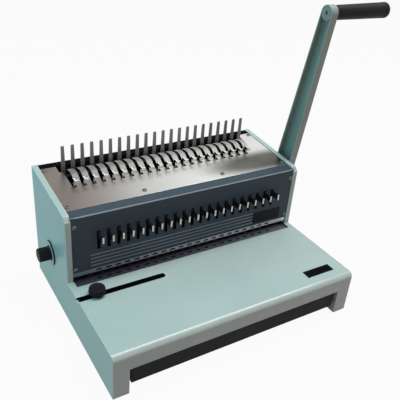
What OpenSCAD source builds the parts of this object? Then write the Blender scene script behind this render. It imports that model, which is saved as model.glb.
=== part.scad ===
// Desk comb-binding machine: one lever works a row of punch pins and a row of comb hooks.
// Lengths are in millimetres.
// Working frame: X to the right from the middle of the body, Y to the rear from the tower's
// front face, Z up from the table top. place() moves the whole machine so that its origin
// is the middle of its footprint, at the floor.

/* [Body] */
// Width over the two cheeks
body_w = 376; // [374:1:400]
// Depth of the tower, front to rear
tower_d = 138; // [134:1:150]
// Depth of the table in front of the tower
table_d = 151; // [140:1:175]
// Height of the tower's front edge over the table
tower_h = 99.25; // [97:0.25:112]
// Slope of the tower's top, rising to the rear, in degrees
slope = 4.66; // [4:0.01:5.5]
// Height of the base below the table, without its feet
base_h = 67; // [62:1:80]
// Height of the rubber feet
foot_h = 3.5; // [2.5:0.5:8]
// Thickness of the cheeks
cheek_t = 8; // [7:0.5:9]
// Thickness of the base's sheet steel
sheet_t = 2; // [1.5:0.1:2.4]
// Bend radius of the table's front edge
front_r = 8; // [5:0.5:11]
// Height of the apron over the chip tray
apron_h = 27; // [24:1:30]
// Width of the front legs
leg_w = 22; // [20:1:24]

/* [Lever] */
// Distance from the lever's pivot to its head
lever_len = 290; // [260:1:320]
// Forward lean of the lever at rest, in degrees
lever_lean = 9.2; // [4:0.1:14]
// Radius of the lever's lower end
lever_r1 = 18; // [16:0.5:20]
// Radius of the lever's head
lever_r2 = 11; // [10:0.5:13]
// Depth of the lever's channel
lever_ch = 12; // [10:0.5:14]
// Length of the grip
grip_len = 102; // [85:1:120]
// Radius of the grip at its free end
grip_r = 11.25; // [10.5:0.25:13]

/* [Comb] */
// Height of the tines over the top plate
tine_h = 37.5; // [30:0.5:45]
// Thickness of a tine
tine_t = 1.8; // [1.2:0.1:2]
// Thickness of a hook
hook_t = 2.6; // [2:0.1:3]

/* [Controls] */
// Radius of the edge stop's knob
edge_knob_r = 11.5; // [10:0.5:13]
// Radius of the margin knob
margin_knob_r = 10; // [8:0.5:13]
// Length of the margin knob
margin_knob_len = 17; // [14:0.5:22]
// Reach of the pull tabs in front of the panel
tab_reach = 16; // [13:0.5:20]

/* [Hidden] */
$fn = 48;

// Known pitch of plastic comb holes, 9/16 in, and their number on a letter or A4 edge
pitch = 14.2875;
n_pin = 21;
n_tine = n_pin + 1;
pin_mid = (n_pin + 1) / 2;
tine_mid = (n_tine + 1) / 2;

// Clearances
over = 1;
run = 0.05;
seat = 0.02;
slide_gap = 0.1;
gap = 0.3;
wide_gap = 0.5;

// Body, derived
half_w = body_w / 2;
in_x = half_w - cheek_t;
rear_wall = tower_d - sheet_t;
leg_x = half_w - leg_w;
panel_t = 1.5;
plate_t = 2;
tan_s = tan(slope);
function top_z(y) = tower_h + y * tan_s;
function comb_x(k) = (k - pin_mid) * pitch;
function tine_x(k) = (k - tine_mid) * pitch;
floor_z = -base_h - foot_h;

// Shaft, and the sloped frame about it in which the top plate lies level
shaft_back = 88;
shaft_y = tower_d - shaft_back;
shaft_z = 48;
shaft_r = 6;
plate_top = (tower_h + shaft_y * tan_s - shaft_z) * cos(slope);
plate_under = plate_top - plate_t;
function slope_y(y) = (y - shaft_y + plate_top * sin(slope)) / cos(slope);

// Gears
gear_m = 1.25;
press_a = 20;
backlash = 0.24;
tooth_root = 1.25 * gear_m;
punch_z = 20;
hook_z = 36;
punch_rp = gear_m * punch_z / 2;
hook_rp = gear_m * hook_z / 2;
tooth_p = PI * gear_m;
flank_n = 5;
lever_swing = 70;
punch_stroke = punch_rp * lever_swing * PI / 180;
hook_stroke = hook_rp * lever_swing * PI / 180;
punch_x0 = 156;
punch_x1 = 163;
hook_x0 = 166;
hook_x1 = 172;

// Paper throat, die and guide
throat_x = in_x - over;
table_rear = -12;
die_top = -3;
die_t = 3.5;
deck_top = die_top - die_t;
deck_t = 3;
die_rear = 24;
throat_h = 5;
guide_bot = die_top + throat_h;
guide_t = 3;
guide_top = guide_bot + guide_t;
guide_front = 2.2;
guide_rear = 26;
guide_lip_t = 1.4;
guide_lip_top = 12.5;
sight_z0 = 7;
sight_z1 = 9.6;
guide_lead = 3;
spacer_front = 8;
spacer_x = 158;
pin_w = 8;
pin_d = 3;
pin_y = 8;
window_w = 7;
window_d = 2.5;
window_y = -1.7;
chip_slot_x = 150;
chip_slot_d = 8;

// Punch bar and pull tabs
bar_x = 150.5;
bar_y0 = 3;
bar_y1 = 14;
bar_z0 = 46;
bar_z1 = 74;
arm_z1 = 58;
rod_r = 4;
rod_x = 148.5;
rod_wall = 2.5;
rod_y = bar_y1 + rod_r + rod_wall;
rod_top = 90;
tab_t = 2.8;
tab_h = 9.4;
tab_z = 61.1;
tab_rear = 12.5;
pin_top = tab_z - 2 * slide_gap;
pocket_roof = 2;
pocket_top = bar_z1 - pocket_roof;
rack_z0 = 34;
rack_z1 = 76;
rack_back = 7;
slot_w = 5;
slot_z0 = 43;
slot_z1 = 72;

// Front panel
panel_z0 = 13;
strip_d = 17;
under_d = 33;
rib_z = [36, 30.4, 24.8, 19];
rib_h = 1.6;
rib_out = 0.8;
rib_x0 = -155;
rib_x1 = [111, 111, 111, 158];

// Screws
screw_r = 1.45;
pilot_r = screw_r + run;
hole_r = 1.7;
head_r = 3.4;
head_h = 1.5;
drive_w = 0.8;
drive_d = 0.7;
screw_in = 4.5;
panel_screw_x = in_x - screw_in;
panel_screw_z = [84.5, 18];
panel_screw_len = 8;
plate_screw_x = in_x - screw_in;
plate_screw_y = 25;
mid_screw_x = 64.2;
mid_screw_y = 27.5;
rear_screw_back = 18;
rear_screw_y = tower_d - rear_screw_back;
rear_screw_len = 7;
lug_w = 7;
lug_d = 8;
lug_h = 10;

// Comb parts
trough_x = 157;
finger_back = 28.5;
finger_rear = tower_d - finger_back;
cover_flange = 12;
cover_front = tower_d - cover_flange;
slot_back = 72;
slot_front = tower_d - slot_back;
hook_side = 1.3;
hook_slot_w = hook_t + 2 * hook_side;
slot_shift = -0.5;
function slot_x(k) = tine_x(k) - slot_shift;
finger_w = pitch - hook_slot_w;
arch_back = 65;
arch_front = tower_d - arch_back;
arch_mid = 45;
arch_top = tower_d - arch_mid;
arch_rise = 7.2;
arch_drop = 62;
arch_step = 1;
function arch_h(y) = y < arch_top
    ? arch_rise * (1 - cos(180 * (y - arch_front) / (arch_top - arch_front))) / 2
    : arch_rise - (y - arch_top) * (y - arch_top) / arch_drop;
tine_back_d = 26;
bar_front = tower_d - tine_back_d - wide_gap;
bar_depth = 8;
tine_bar_h = 12;
tine_y = tower_d - tine_back_d;
tine_foot = 6.4;
tine_tip = 4.5;
cheek_rim = 1;
cheek_cham = 6;

// Hook carriage, in the sloped frame
carr_gap = 3;
carr_top = plate_under - carr_gap;
carr_t = 4;
carr_bot = carr_top - carr_t;
carr_front = 18;
carr_rear = 36;
carr_end = 2;
carr_x = in_x - carr_end;
carr_arm = 9;
rail_x = 173;
rail_t = 2.7;
rail_front = 10;
rail_rear = 63.5;
hook_set_back = 4.5;
hook_front = slope_y(slot_front) + hook_set_back;
hook_deep = 5;
hook_up = 10;
hook_off = 0.4;
hook_nose = 4;
hook_nose_h = 3;
hrack_body = 5;
hrack_spare = 7;
hrack_front = -hook_stroke - hrack_spare;
hrack_tooth_end = 12;

// Spring
spring_r = 9.5;
wire_r = 1.2;
leg_r = wire_r - slide_gap;
wire_p = 2.2;
spring_n = 25;
spring_x = (spring_n - 1) * wire_p / 2;
spring_leg = 12;

// Bushes
bush_r = 9;
bush_flange_r = 12;
bush_flange_t = 2.5;
bush_wall = 2;

// Lever, derived
lever_gap = 4;
lever_x0 = half_w + lever_gap;
lever_x1 = lever_x0 + lever_ch;
lever_wall = 2;
boss_r = 12;
bolt_r = 2.5;
bolt_len = 14;
washer_r = 9;
washer_t = 1.5;
hex_r = 6.5;
hex_h = 5;
stud_r = 3;
stud_sink = 2;
grip_in = 14;
grip_taper = 1.25;
grip_cap = 2;
function tangent_a(d) = asin((lever_r1 - lever_r2) / lever_len);

// Chip tray and runners
tray_gap = 4;
tray_x = leg_x - tray_gap;
tray_front = -table_d + tray_gap;
tray_rear = 40;
tray_top = -apron_h - over;
tray_clear = 12;
tray_bot = -base_h + tray_clear;
tray_wall = 1.6;
tray_lip = 3;
lip_t = 2;
runner_out = 8;
runner_x = tray_x + runner_out;
runner_t = 2;
runner_in = tray_x + over;
runner_ahead = 23;
runner_front = -table_d + runner_ahead;
runner_behind = 8;
runner_rear = tower_d - runner_behind;
runner_stop = 3;
leg_return = 20;
flange_x = runner_x - over;
foot_edge = 9.5;
foot_x = half_w - foot_edge;
foot_front = 72;
foot_rear = 16;
foot_r = 8;
foot_stem_r = 2.6;
foot_head_r = 4;
foot_head_h = 2.5;

// Edge stop
edge_y = -37.3;
edge_slot_r = 4.1;
edge_slot_end = -62;
edge_in = 27;
edge_x = -half_w + edge_in;
edge_rail_y = 6.7;
edge_rail_in = 5.2;
edge_rail_h = 7;
edge_rail_t = 1.5;
edge_stem_x = 6;
edge_stem_y = 3.75;
edge_foot_x = 8;
edge_foot_y = 4.7;
edge_foot_t = 3;
edge_pad_r = 8;
edge_pad_z = 0.4;
edge_knob_z = 4.5;
edge_knob_h = 7.7;
edge_stud_r = 2.5;
edge_stud_top = 10.4;

// Margin control
margin_back = 70;
margin_y = tower_d - margin_back;
margin_z = 7;
spindle_r = 3;
disc_r = 18;
disc_t = 1.5;
cam_x0 = -160;
cam_x1 = -155;
cam_r0 = 8;
cam_rise = 4;
cam_n = 48;
knob_x1 = -half_w - wide_gap;
knob_x0 = knob_x1 - disc_t - margin_knob_len;
gauge_x = 148;
gauge_y0 = 15;
gauge_y1 = 30;
gauge_lift = 0.6;
gauge_z = die_top + gauge_lift;
gauge_t = 3;
gauge_arm_x0 = -157;
gauge_arm_x1 = -147;
gauge_tab_x0 = -162;
gauge_tab_t = 3;
gauge_tab_h = 17;
cam_gap = 0.45;

// Middle of the whole machine's box, moved to the origin
all_x0 = knob_x0;
all_x1 = lever_x1 + grip_len;
move_x = -(all_x0 + all_x1) / 2;
move_y = -(tower_d - table_d) / 2;
move_z = -floor_z;

// Helpers
module place() {
    translate([move_x, move_y, move_z]) children();
}
module incline(a = slope) {
    translate([0, shaft_y, shaft_z]) rotate([a, 0, 0]) children();
}
module both() {
    children();
    mirror([1, 0, 0]) children();
}
module box(lo, hi) {
    translate(lo) cube(hi - lo);
}
module xcyl(x0, x1, r, y = 0, z = 0) {
    translate([x0, y, z]) rotate([0, 90, 0]) cylinder(h = x1 - x0, r = r);
}
module yz(x0, x1) {
    translate([x0, 0, 0]) rotate([90, 0, 90]) linear_extrude(x1 - x0) children();
}

// Involute gear and rack outlines
function inv(a) = tan(a) * 180 / PI - a;
function gear_half(r, rp) = let (rb = rp * cos(press_a))
    90 / (rp / gear_m * 2) - backlash / rp * 45 / PI + inv(press_a)
    - (r > rb ? inv(acos(rb / r)) : 0);
function flank_r(i, rp) = let (rb = rp * cos(press_a), lo = max(rb, rp - tooth_root))
    lo + (rp + gear_m - lo) * i / flank_n;
function tooth_pts(c, rp) = concat(
    [let (a = c - gear_half(rp - tooth_root, rp)) (rp - tooth_root) * [cos(a), sin(a)]],
    [for (i = [0 : flank_n]) let (r = flank_r(i, rp), a = c - gear_half(r, rp))
        r * [cos(a), sin(a)]],
    [for (i = [flank_n : -1 : 0]) let (r = flank_r(i, rp), a = c + gear_half(r, rp))
        r * [cos(a), sin(a)]],
    [let (a = c + gear_half(rp - tooth_root, rp)) (rp - tooth_root) * [cos(a), sin(a)]]);
module gear(z, c0) {
    rp = gear_m * z / 2;
    polygon([for (k = [0 : z - 1]) each tooth_pts(c0 + k * 360 / z, rp)]);
}
// Rack teeth along +x, pointing +y, with the pitch line on y = 0 and a gap at x = 0
module rack_tooth(c) {
    h = tooth_p / 4 - backlash / 4;
    tip = h - gear_m * tan(press_a);
    foot = h + tooth_root * tan(press_a);
    polygon([[c - foot, -tooth_root], [c - tip, gear_m], [c + tip, gear_m],
        [c + foot, -tooth_root], [c + foot, -tooth_root - over],
        [c - foot, -tooth_root - over]]);
}
module rack_teeth(a, b) {
    for (k = [ceil(a / tooth_p - 0.5) : floor(b / tooth_p - 0.5)])
        rack_tooth((k + 0.5) * tooth_p);
}

// Base housing: one bent sheet with table, apron, legs and skirts
module base_profile(d) {
    r = front_r - d;
    y0 = -table_d + d;
    y1 = tower_d - d;
    z0 = -base_h - (d > 0 ? over : 0);
    translate([y0 + r, z0]) square([y1 - y0 - r, -d - z0]);
    translate([y0, z0]) square([r + d, -d - r - z0]);
    translate([y0 + r, -d - r]) circle(r);
}
module foot_spots() {
    for (x = [-foot_x, foot_x])
        for (y = [-table_d + foot_front, tower_d - foot_rear])
            translate([x, y, 0]) children();
}
module base_housing() {
    place() color([0.62, 0.75, 0.73]) difference() {
        union() {
            difference() {
                yz(-half_w, half_w) base_profile(0);
                yz(-half_w + sheet_t, half_w - sheet_t) base_profile(sheet_t);
                box([-leg_x, -table_d - over, -base_h - over],
                    [leg_x, -table_d + sheet_t + over, -apron_h]);
                box([-throat_x, table_rear, -sheet_t - over], [throat_x, over, over]);
                box([-in_x, 0, -sheet_t - over], [in_x, rear_wall, over]);
            }
            both() box([leg_x, -table_d + sheet_t / 2, -base_h],
                [leg_x + sheet_t, -table_d + leg_return, -apron_h + sheet_t]);
            both() box([flange_x, -table_d + sheet_t / 2, -base_h],
                [half_w - sheet_t / 2, tower_d - sheet_t / 2, -base_h + sheet_t]);
            box([-throat_x, table_rear - sheet_t, deck_top - deck_t],
                [throat_x, table_rear, -sheet_t / 2]);
        }
        box([-half_w - over, edge_y - edge_slot_r, -sheet_t - over],
            [edge_slot_end - edge_slot_r, edge_y + edge_slot_r, over]);
        translate([edge_slot_end - edge_slot_r, edge_y, -sheet_t - over])
            cylinder(h = sheet_t + 2 * over, r = edge_slot_r);
        foot_spots() translate([0, 0, -base_h - over])
            cylinder(h = sheet_t + 2 * over, r = foot_stem_r + run);
    }
}
module tower_deck() {
    place() color([0.35, 0.36, 0.38]) difference() {
        box([-half_w + sheet_t, table_rear, deck_top - deck_t],
            [half_w - sheet_t, rear_wall, deck_top]);
        box([-chip_slot_x, pin_y - chip_slot_d / 2, deck_top - deck_t - over],
            [chip_slot_x, pin_y + chip_slot_d / 2, deck_top + over]);
    }
}
module rubber_feet() {
    place() color([0.08, 0.08, 0.08]) foot_spots() union() {
        translate([0, 0, floor_z]) cylinder(h = foot_h, r1 = foot_r - wide_gap, r2 = foot_r);
        translate([0, 0, floor_z + foot_h / 2])
            cylinder(h = foot_h / 2 + sheet_t + foot_head_h / 2, r = foot_stem_r);
        translate([0, 0, -base_h + sheet_t])
            cylinder(h = foot_head_h, r1 = foot_head_r, r2 = foot_stem_r);
    }
}

// Chip tray on its runners: a floor with two slide lips, two side walls, two end walls
module tray_runners() {
    place() color([0.45, 0.46, 0.47]) both() union() {
        box([runner_x, runner_front, -base_h + sheet_t],
            [runner_x + runner_t, runner_rear, tray_top - lip_t - gap]);
        box([runner_in, runner_front, tray_top - lip_t - gap - runner_t],
            [runner_x + runner_t, runner_rear, tray_top - lip_t - gap]);
        box([runner_in, tray_rear + over, tray_top - lip_t - gap - runner_t],
            [runner_x + runner_t, tray_rear + over + runner_stop, tray_top]);
    }
}
module chip_tray() {
    place() color([0.1, 0.1, 0.11]) union() {
        box([-tray_x, tray_front, tray_bot], [tray_x, tray_rear, tray_bot + tray_wall]);
        both() box([tray_x, tray_front, tray_top - lip_t],
            [tray_x + tray_lip, tray_rear, tray_top]);
    }
}
module tray_sides() {
    place() color([0.1, 0.1, 0.11]) both()
        box([tray_x - tray_wall, tray_front, tray_bot + tray_wall],
            [tray_x, tray_rear, tray_top]);
}
module tray_ends() {
    place() color([0.1, 0.1, 0.11]) for (y = [tray_front, tray_rear - tray_wall])
        box([-tray_x + tray_wall, y, tray_bot + tray_wall],
            [tray_x - tray_wall, y + tray_wall, tray_top]);
}

// Edge stop in the table's slot
module edge_rail() {
    place() color([0.07, 0.07, 0.07]) difference() {
        box([-half_w + sheet_t, edge_y - edge_rail_y, -sheet_t - edge_rail_h],
            [edge_slot_end + edge_rail_y, edge_y + edge_rail_y, -sheet_t]);
        box([-half_w + sheet_t + edge_rail_t, edge_y - edge_rail_in,
            -sheet_t - edge_rail_h + edge_rail_t],
            [edge_slot_end + edge_rail_in, edge_y + edge_rail_in, -sheet_t + over]);
    }
}
module edge_stop() {
    foot_top = -sheet_t - wide_gap;
    place() color([0.1, 0.1, 0.1]) translate([edge_x, edge_y, 0]) union() {
        box([-edge_stem_x, -edge_stem_y, foot_top - over],
            [edge_stem_x, edge_stem_y, edge_pad_z + over]);
        box([-edge_foot_x, -edge_foot_y, foot_top - edge_foot_t],
            [edge_foot_x, edge_foot_y, foot_top]);
        translate([0, 0, edge_pad_z])
            cylinder(h = edge_knob_z - gap - edge_pad_z, r = edge_pad_r);
        translate([0, 0, edge_pad_z]) cylinder(h = edge_stud_top - edge_pad_z, r = edge_stud_r);
    }
}
module edge_knob() {
    place() color([0.06, 0.06, 0.06]) translate([edge_x, edge_y, edge_knob_z]) difference() {
        cylinder(h = edge_knob_h, r1 = edge_knob_r, r2 = edge_knob_r - over);
        translate([0, 0, -over])
            cylinder(h = edge_stud_top - edge_knob_z + wide_gap + over, r = edge_stud_r + run);
    }
}

// Cheeks
module cheek_profile() {
    polygon([[0, 0], [tower_d, 0], [tower_d, top_z(tower_d) + cheek_rim],
        [cheek_cham, top_z(cheek_cham) + cheek_rim],
        [0, top_z(0) + cheek_rim - cheek_cham]]);
}
module cheek_body() {
    difference() {
        union() {
            yz(in_x, half_w) cheek_profile();
            for (z = panel_screw_z)
                box([in_x - lug_w, panel_t, z - lug_h / 2],
                    [in_x + over, panel_t + lug_d, z + lug_h / 2]);
            incline() box([in_x - lug_w, slope_y(rear_screw_y) - lug_d / 2, plate_under - lug_d],
                [in_x + over, slope_y(rear_screw_y) + lug_d / 2, plate_under]);
        }
        for (z = panel_screw_z)
            translate([panel_screw_x, 0, z]) rotate([-90, 0, 0])
                cylinder(h = panel_screw_len + wide_gap, r = pilot_r);
        incline() translate([plate_screw_x, slope_y(rear_screw_y), plate_under - rear_screw_len])
            cylinder(h = rear_screw_len + over, r = pilot_r);
    }
}
module right_cheek() {
    place() color([0.62, 0.75, 0.73]) difference() {
        cheek_body();
        xcyl(in_x - over, half_w + over, bush_r + seat, shaft_y, shaft_z);
    }
}
module left_cheek() {
    place() color([0.55, 0.72, 0.71]) difference() {
        mirror([1, 0, 0]) cheek_body();
        xcyl(-half_w + bush_wall, -in_x + over, bush_r + seat, shaft_y, shaft_z);
        xcyl(-half_w - over, -in_x + over, spindle_r + run, margin_y, margin_z);
    }
}

// Front panel, top plate, rear cover and their screws
module panel_profile() {
    t = panel_t / cos(slope);
    d = plate_t / cos(slope);
    polygon([[0, panel_z0], [0, top_z(0)], [strip_d, top_z(strip_d)],
        [strip_d, top_z(strip_d) - d], [under_d, top_z(under_d) - d],
        [under_d, top_z(under_d) - d - t],
        [strip_d - panel_t, top_z(strip_d - panel_t) - d - t],
        [strip_d - panel_t, top_z(strip_d - panel_t) - t],
        [panel_t, top_z(panel_t) - t], [panel_t, panel_z0]]);
}
module front_screw_spots() {
    for (s = [-1, 1]) {
        translate([s * plate_screw_x, slope_y(plate_screw_y), plate_under]) children();
        translate([s * mid_screw_x, slope_y(mid_screw_y), plate_under]) children();
    }
}
module rear_screw_spots() {
    for (s = [-1, 1])
        translate([s * plate_screw_x, slope_y(rear_screw_y), plate_under]) children();
}
module panel_screw_spots() {
    for (s = [-1, 1])
        for (z = panel_screw_z)
            translate([s * panel_screw_x, 0, z]) rotate([90, 0, 0]) children();
}
module front_panel() {
    place() color([0.18, 0.21, 0.24]) difference() {
        union() {
            yz(-in_x, in_x) panel_profile();
            for (i = [0 : len(rib_z) - 1])
                box([rib_x0, -rib_out, rib_z[i] - rib_h / 2],
                    [rib_x1[i], panel_t / 2, rib_z[i] + rib_h / 2]);
        }
        for (k = [1 : n_pin])
            box([comb_x(k) - slot_w / 2, -over, slot_z0],
                [comb_x(k) + slot_w / 2, panel_t + over, slot_z1]);
        panel_screw_spots() translate([0, 0, -panel_t - over])
            cylinder(h = panel_t + 2 * over, r = hole_r);
        incline() front_screw_spots() translate([0, 0, -panel_t - over])
            cylinder(h = panel_t + over + wide_gap, r = pilot_r);
    }
}
// Outline of one arched finger, from the flat plate to its free end
module finger_profile() {
    n = floor((finger_rear - arch_front) / arch_step);
    ys = [for (i = [0 : n]) arch_front + (finger_rear - arch_front) * i / n];
    polygon(concat(
        [[slope_y(arch_front) - over, plate_top]],
        [for (y = ys) [slope_y(y), plate_top + arch_h(y)]],
        [for (i = [n : -1 : 0]) [slope_y(ys[i]), plate_under + arch_h(ys[i])]],
        [[slope_y(arch_front) - over, plate_under]]));
}
module top_plate() {
    y0 = slope_y(strip_d) + gap;
    y1 = slope_y(arch_front);
    y2 = slope_y(finger_rear);
    y3 = slope_y(cover_front) - gap;
    side_l = slot_x(1) - hook_slot_w / 2;
    side_r = slot_x(n_pin) + hook_slot_w / 2 + finger_w + gap;
    place() color([0.72, 0.71, 0.68]) incline() difference() {
        union() {
            box([-in_x, y0, plate_under], [in_x, y1, plate_top]);
            box([-in_x, y1 - over, plate_under], [side_l, y2, plate_top]);
            box([side_r, y1 - over, plate_under], [in_x, y2, plate_top]);
            both() box([trough_x, y2 - over, plate_under], [in_x, y3, plate_top]);
            for (k = [1 : n_pin])
                yz(slot_x(k) + hook_slot_w / 2, slot_x(k) + hook_slot_w / 2 + finger_w)
                    finger_profile();
        }
        for (k = [1 : n_pin])
            box([slot_x(k) - hook_slot_w / 2, slope_y(slot_front), plate_under - over],
                [slot_x(k) + hook_slot_w / 2, y2 + over, plate_top + over]);
        front_screw_spots() translate([0, 0, -over])
            cylinder(h = plate_t + 2 * over, r = hole_r);
        rear_screw_spots() translate([0, 0, -over])
            cylinder(h = plate_t + 2 * over, r = hole_r);
    }
}
// One pan-head screw: the head's underside on z = 0, the shank down along -z
module screw(len) {
    difference() {
        union() {
            cylinder(h = head_h, r1 = head_r, r2 = head_r - wide_gap);
            translate([0, 0, -len]) cylinder(h = len + head_h / 2, r = screw_r);
        }
        box([-head_r - over, -drive_w / 2, head_h - drive_d],
            [head_r + over, drive_w / 2, head_h + over]);
    }
}
module cover_screws() {
    place() color([0.6, 0.6, 0.6]) union() {
        panel_screw_spots() screw(panel_screw_len);
        incline() {
            front_screw_spots() translate([0, 0, plate_t]) screw(plate_t + panel_t + wide_gap);
            rear_screw_spots() translate([0, 0, plate_t]) screw(plate_t + rear_screw_len - over);
        }
    }
}
module rear_cover() {
    t = panel_t / cos(slope);
    inner = tower_d - panel_t;
    place() color([0.12, 0.13, 0.14]) yz(-in_x, in_x)
        polygon([[tower_d, 0], [tower_d, top_z(tower_d)], [cover_front, top_z(cover_front)],
            [cover_front, top_z(cover_front) - t], [inner, top_z(inner) - t], [inner, 0]]);
}

// Tines on their bar
tine_sink = 10.3;
tine_bar_top = top_z(bar_front) - tine_sink;
module tine_bar() {
    place() color([0.2, 0.2, 0.21])
        box([-in_x, bar_front, tine_bar_top - tine_bar_h],
            [in_x, bar_front + bar_depth, tine_bar_top]);
}
module tines() {
    tip_z = top_z(tine_y) + tine_h;
    place() color([0.33, 0.34, 0.35]) for (k = [1 : n_tine])
        translate([tine_x(k), tine_y + tine_t, 0]) rotate([90, 0, 0]) linear_extrude(tine_t)
            polygon([[-tine_foot / 2, tine_bar_top], [tine_foot / 2, tine_bar_top],
                [tine_tip / 2, tip_z], [-tine_tip / 2, tip_z]]);
}

// Paper throat
module pin_cut(z0, z1) {
    for (k = [1 : n_pin])
        box([comb_x(k) - pin_w / 2 - slide_gap, pin_y - pin_d / 2 - slide_gap, z0],
            [comb_x(k) + pin_w / 2 + slide_gap, pin_y + pin_d / 2 + slide_gap, z1]);
}
module die_plate() {
    place() color([0.2, 0.21, 0.23]) difference() {
        box([-throat_x, table_rear, deck_top], [throat_x, die_rear, die_top]);
        pin_cut(deck_top - over, die_top + over);
        for (k = [1 : n_pin])
            box([comb_x(k) - window_w / 2, window_y - window_d / 2, deck_top - over],
                [comb_x(k) + window_w / 2, window_y + window_d / 2, die_top + over]);
    }
}
module guide_spacers() {
    place() color([0.4, 0.4, 0.42]) both()
        box([spacer_x, spacer_front, die_top], [throat_x, die_rear, guide_bot]);
}
module punch_guide() {
    place() color([0.8, 0.8, 0.79]) difference() {
        yz(-throat_x, throat_x)
            polygon([[guide_front, guide_lip_top], [guide_front + guide_lip_t, guide_lip_top],
                [guide_front + guide_lip_t, guide_top], [guide_rear, guide_top],
                [guide_rear, guide_bot], [guide_front + guide_lead, guide_bot],
                [guide_front, guide_bot + guide_lead]]);
        pin_cut(guide_bot - over, guide_top + over);
        for (k = [1 : n_pin])
            box([comb_x(k) - pin_w / 2, guide_front - over, sight_z0],
                [comb_x(k) + pin_w / 2, guide_front + guide_lip_t + over, sight_z1]);
        both() translate([rod_x, rod_y, guide_bot - over])
            cylinder(h = guide_t + 2 * over, r = rod_r + seat);
    }
}
module guide_rods() {
    place() color([0.75, 0.75, 0.76]) both() translate([rod_x, rod_y, guide_bot])
        cylinder(h = rod_top - guide_bot, r = rod_r);
}

// Shaft and bushes
module bush() {
    xcyl(in_x - bush_flange_t, in_x, bush_flange_r, shaft_y, shaft_z);
}
module shaft_bushes() {
    place() color([0.7, 0.55, 0.3]) difference() {
        union() {
            bush();
            mirror([1, 0, 0]) bush();
            xcyl(in_x - over, half_w, bush_r, shaft_y, shaft_z);
            xcyl(-half_w + bush_wall, -in_x + over, bush_r, shaft_y, shaft_z);
        }
        xcyl(-half_w - over, half_w + over, shaft_r + run, shaft_y, shaft_z);
    }
}
module lever_shaft() {
    place() color([0.6, 0.6, 0.62]) difference() {
        xcyl(-half_w + bush_wall + gap, lever_x1 - gap, shaft_r, shaft_y, shaft_z);
        xcyl(lever_x1 - bolt_len - over, lever_x1 + over, bolt_r + seat, shaft_y, shaft_z);
    }
}

// Lever, open towards the body, with a closed head
module lever_outline(d) {
    a = tangent_a(0);
    r1 = lever_r1 - d;
    r2 = lever_r2 - d;
    circle(r1);
    translate([0, lever_len]) circle(r2);
    polygon([[-r1 * cos(a), r1 * sin(a)], [r1 * cos(a), r1 * sin(a)],
        [r2 * cos(a), lever_len + r2 * sin(a)], [-r2 * cos(a), lever_len + r2 * sin(a)]]);
}
module lever_arm() {
    place() color([0.45, 0.6, 0.58]) incline(lever_lean) difference() {
        union() {
            difference() {
                yz(lever_x0, lever_x1) lever_outline(0);
                yz(lever_x0 - over, lever_x1 - lever_wall) lever_outline(lever_wall);
            }
            xcyl(half_w + wide_gap, lever_x1 - lever_wall / 2, boss_r);
            xcyl(lever_x0, lever_x1 - lever_wall / 2, lever_r2 - lever_wall / 2, 0, lever_len);
        }
        xcyl(half_w, lever_x1 + over, shaft_r + seat);
        xcyl(lever_x0 - over, lever_x1 + over, stud_r + run, 0, lever_len);
    }
}
module lever_bolt() {
    place() color([0.6, 0.6, 0.6]) incline(lever_lean) union() {
        xcyl(lever_x1 - bolt_len, lever_x1 + washer_t, bolt_r);
        xcyl(lever_x1, lever_x1 + washer_t, washer_r);
        translate([lever_x1 + washer_t / 2, 0, 0]) rotate([0, 90, 0])
            cylinder(h = hex_h + washer_t / 2, r = hex_r, $fn = 6);
    }
}
module grip() {
    x1 = lever_x1 + grip_len;
    place() color([0.06, 0.06, 0.07]) incline(lever_lean) difference() {
        translate([0, 0, lever_len]) rotate([0, 90, 0]) rotate_extrude()
            polygon([[0, lever_x1], [grip_r - grip_taper, lever_x1],
                [grip_r, x1 - grip_cap], [grip_r - grip_cap, x1], [0, x1]]);
        xcyl(lever_x1 - over, x1 - grip_in, stud_r + run, 0, lever_len);
    }
}
module grip_bolt() {
    place() color([0.3, 0.3, 0.3]) incline(lever_lean)
        xcyl(lever_x0 + stud_sink, lever_x1 + grip_len - grip_in - gap, stud_r, 0, lever_len);
}

// Gears on the shaft
module punch_pinions() {
    place() color([0.5, 0.5, 0.5]) difference() {
        both() yz(punch_x0, punch_x1) translate([shaft_y, shaft_z]) gear(punch_z, 180);
        xcyl(-half_w, half_w, shaft_r + seat, shaft_y, shaft_z);
    }
}
module hook_pinions() {
    place() color([0.5, 0.5, 0.5]) incline() difference() {
        both() yz(hook_x0, hook_x1) gear(hook_z, 270);
        xcyl(-half_w, half_w, shaft_r + seat);
    }
}

// Punch bar with its racks, and the pins
module punch_bar() {
    rack_y = shaft_y - punch_rp;
    tooth_z = rack_z1 - shaft_z;
    place() color([0.45, 0.46, 0.48]) difference() {
        union() {
            box([-bar_x, bar_y0, bar_z0], [bar_x, bar_y1, bar_z1]);
            both() box([bar_x - over, bar_y0, bar_z0], [punch_x1, rack_y - tooth_root, arm_z1]);
            both() box([rod_x - rod_r - rod_wall, bar_y1 - over, bar_z0],
                [rod_x + rod_r + rod_wall, rod_y + rod_r + rod_wall, arm_z1]);
            both() box([punch_x0, rack_y - tooth_root - rack_back, rack_z0],
                [punch_x1, rack_y - tooth_root, rack_z1]);
            both() yz(punch_x0, punch_x1) translate([rack_y, shaft_z]) rotate(-90)
                rack_teeth(-tooth_z + over, shaft_z - rack_z0 - over);
        }
        pin_cut(bar_z0 - over, pocket_top);
        for (k = [1 : n_pin])
            box([comb_x(k) - tab_t / 2 - slide_gap, bar_y0 - over, tab_z - slide_gap],
                [comb_x(k) + tab_t / 2 + slide_gap, bar_y1 + over, tab_z + tab_h + slide_gap]);
        both() translate([rod_x, rod_y, bar_z0 - over])
            cylinder(h = arm_z1 - bar_z0 + 2 * over, r = rod_r + run);
    }
}
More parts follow.
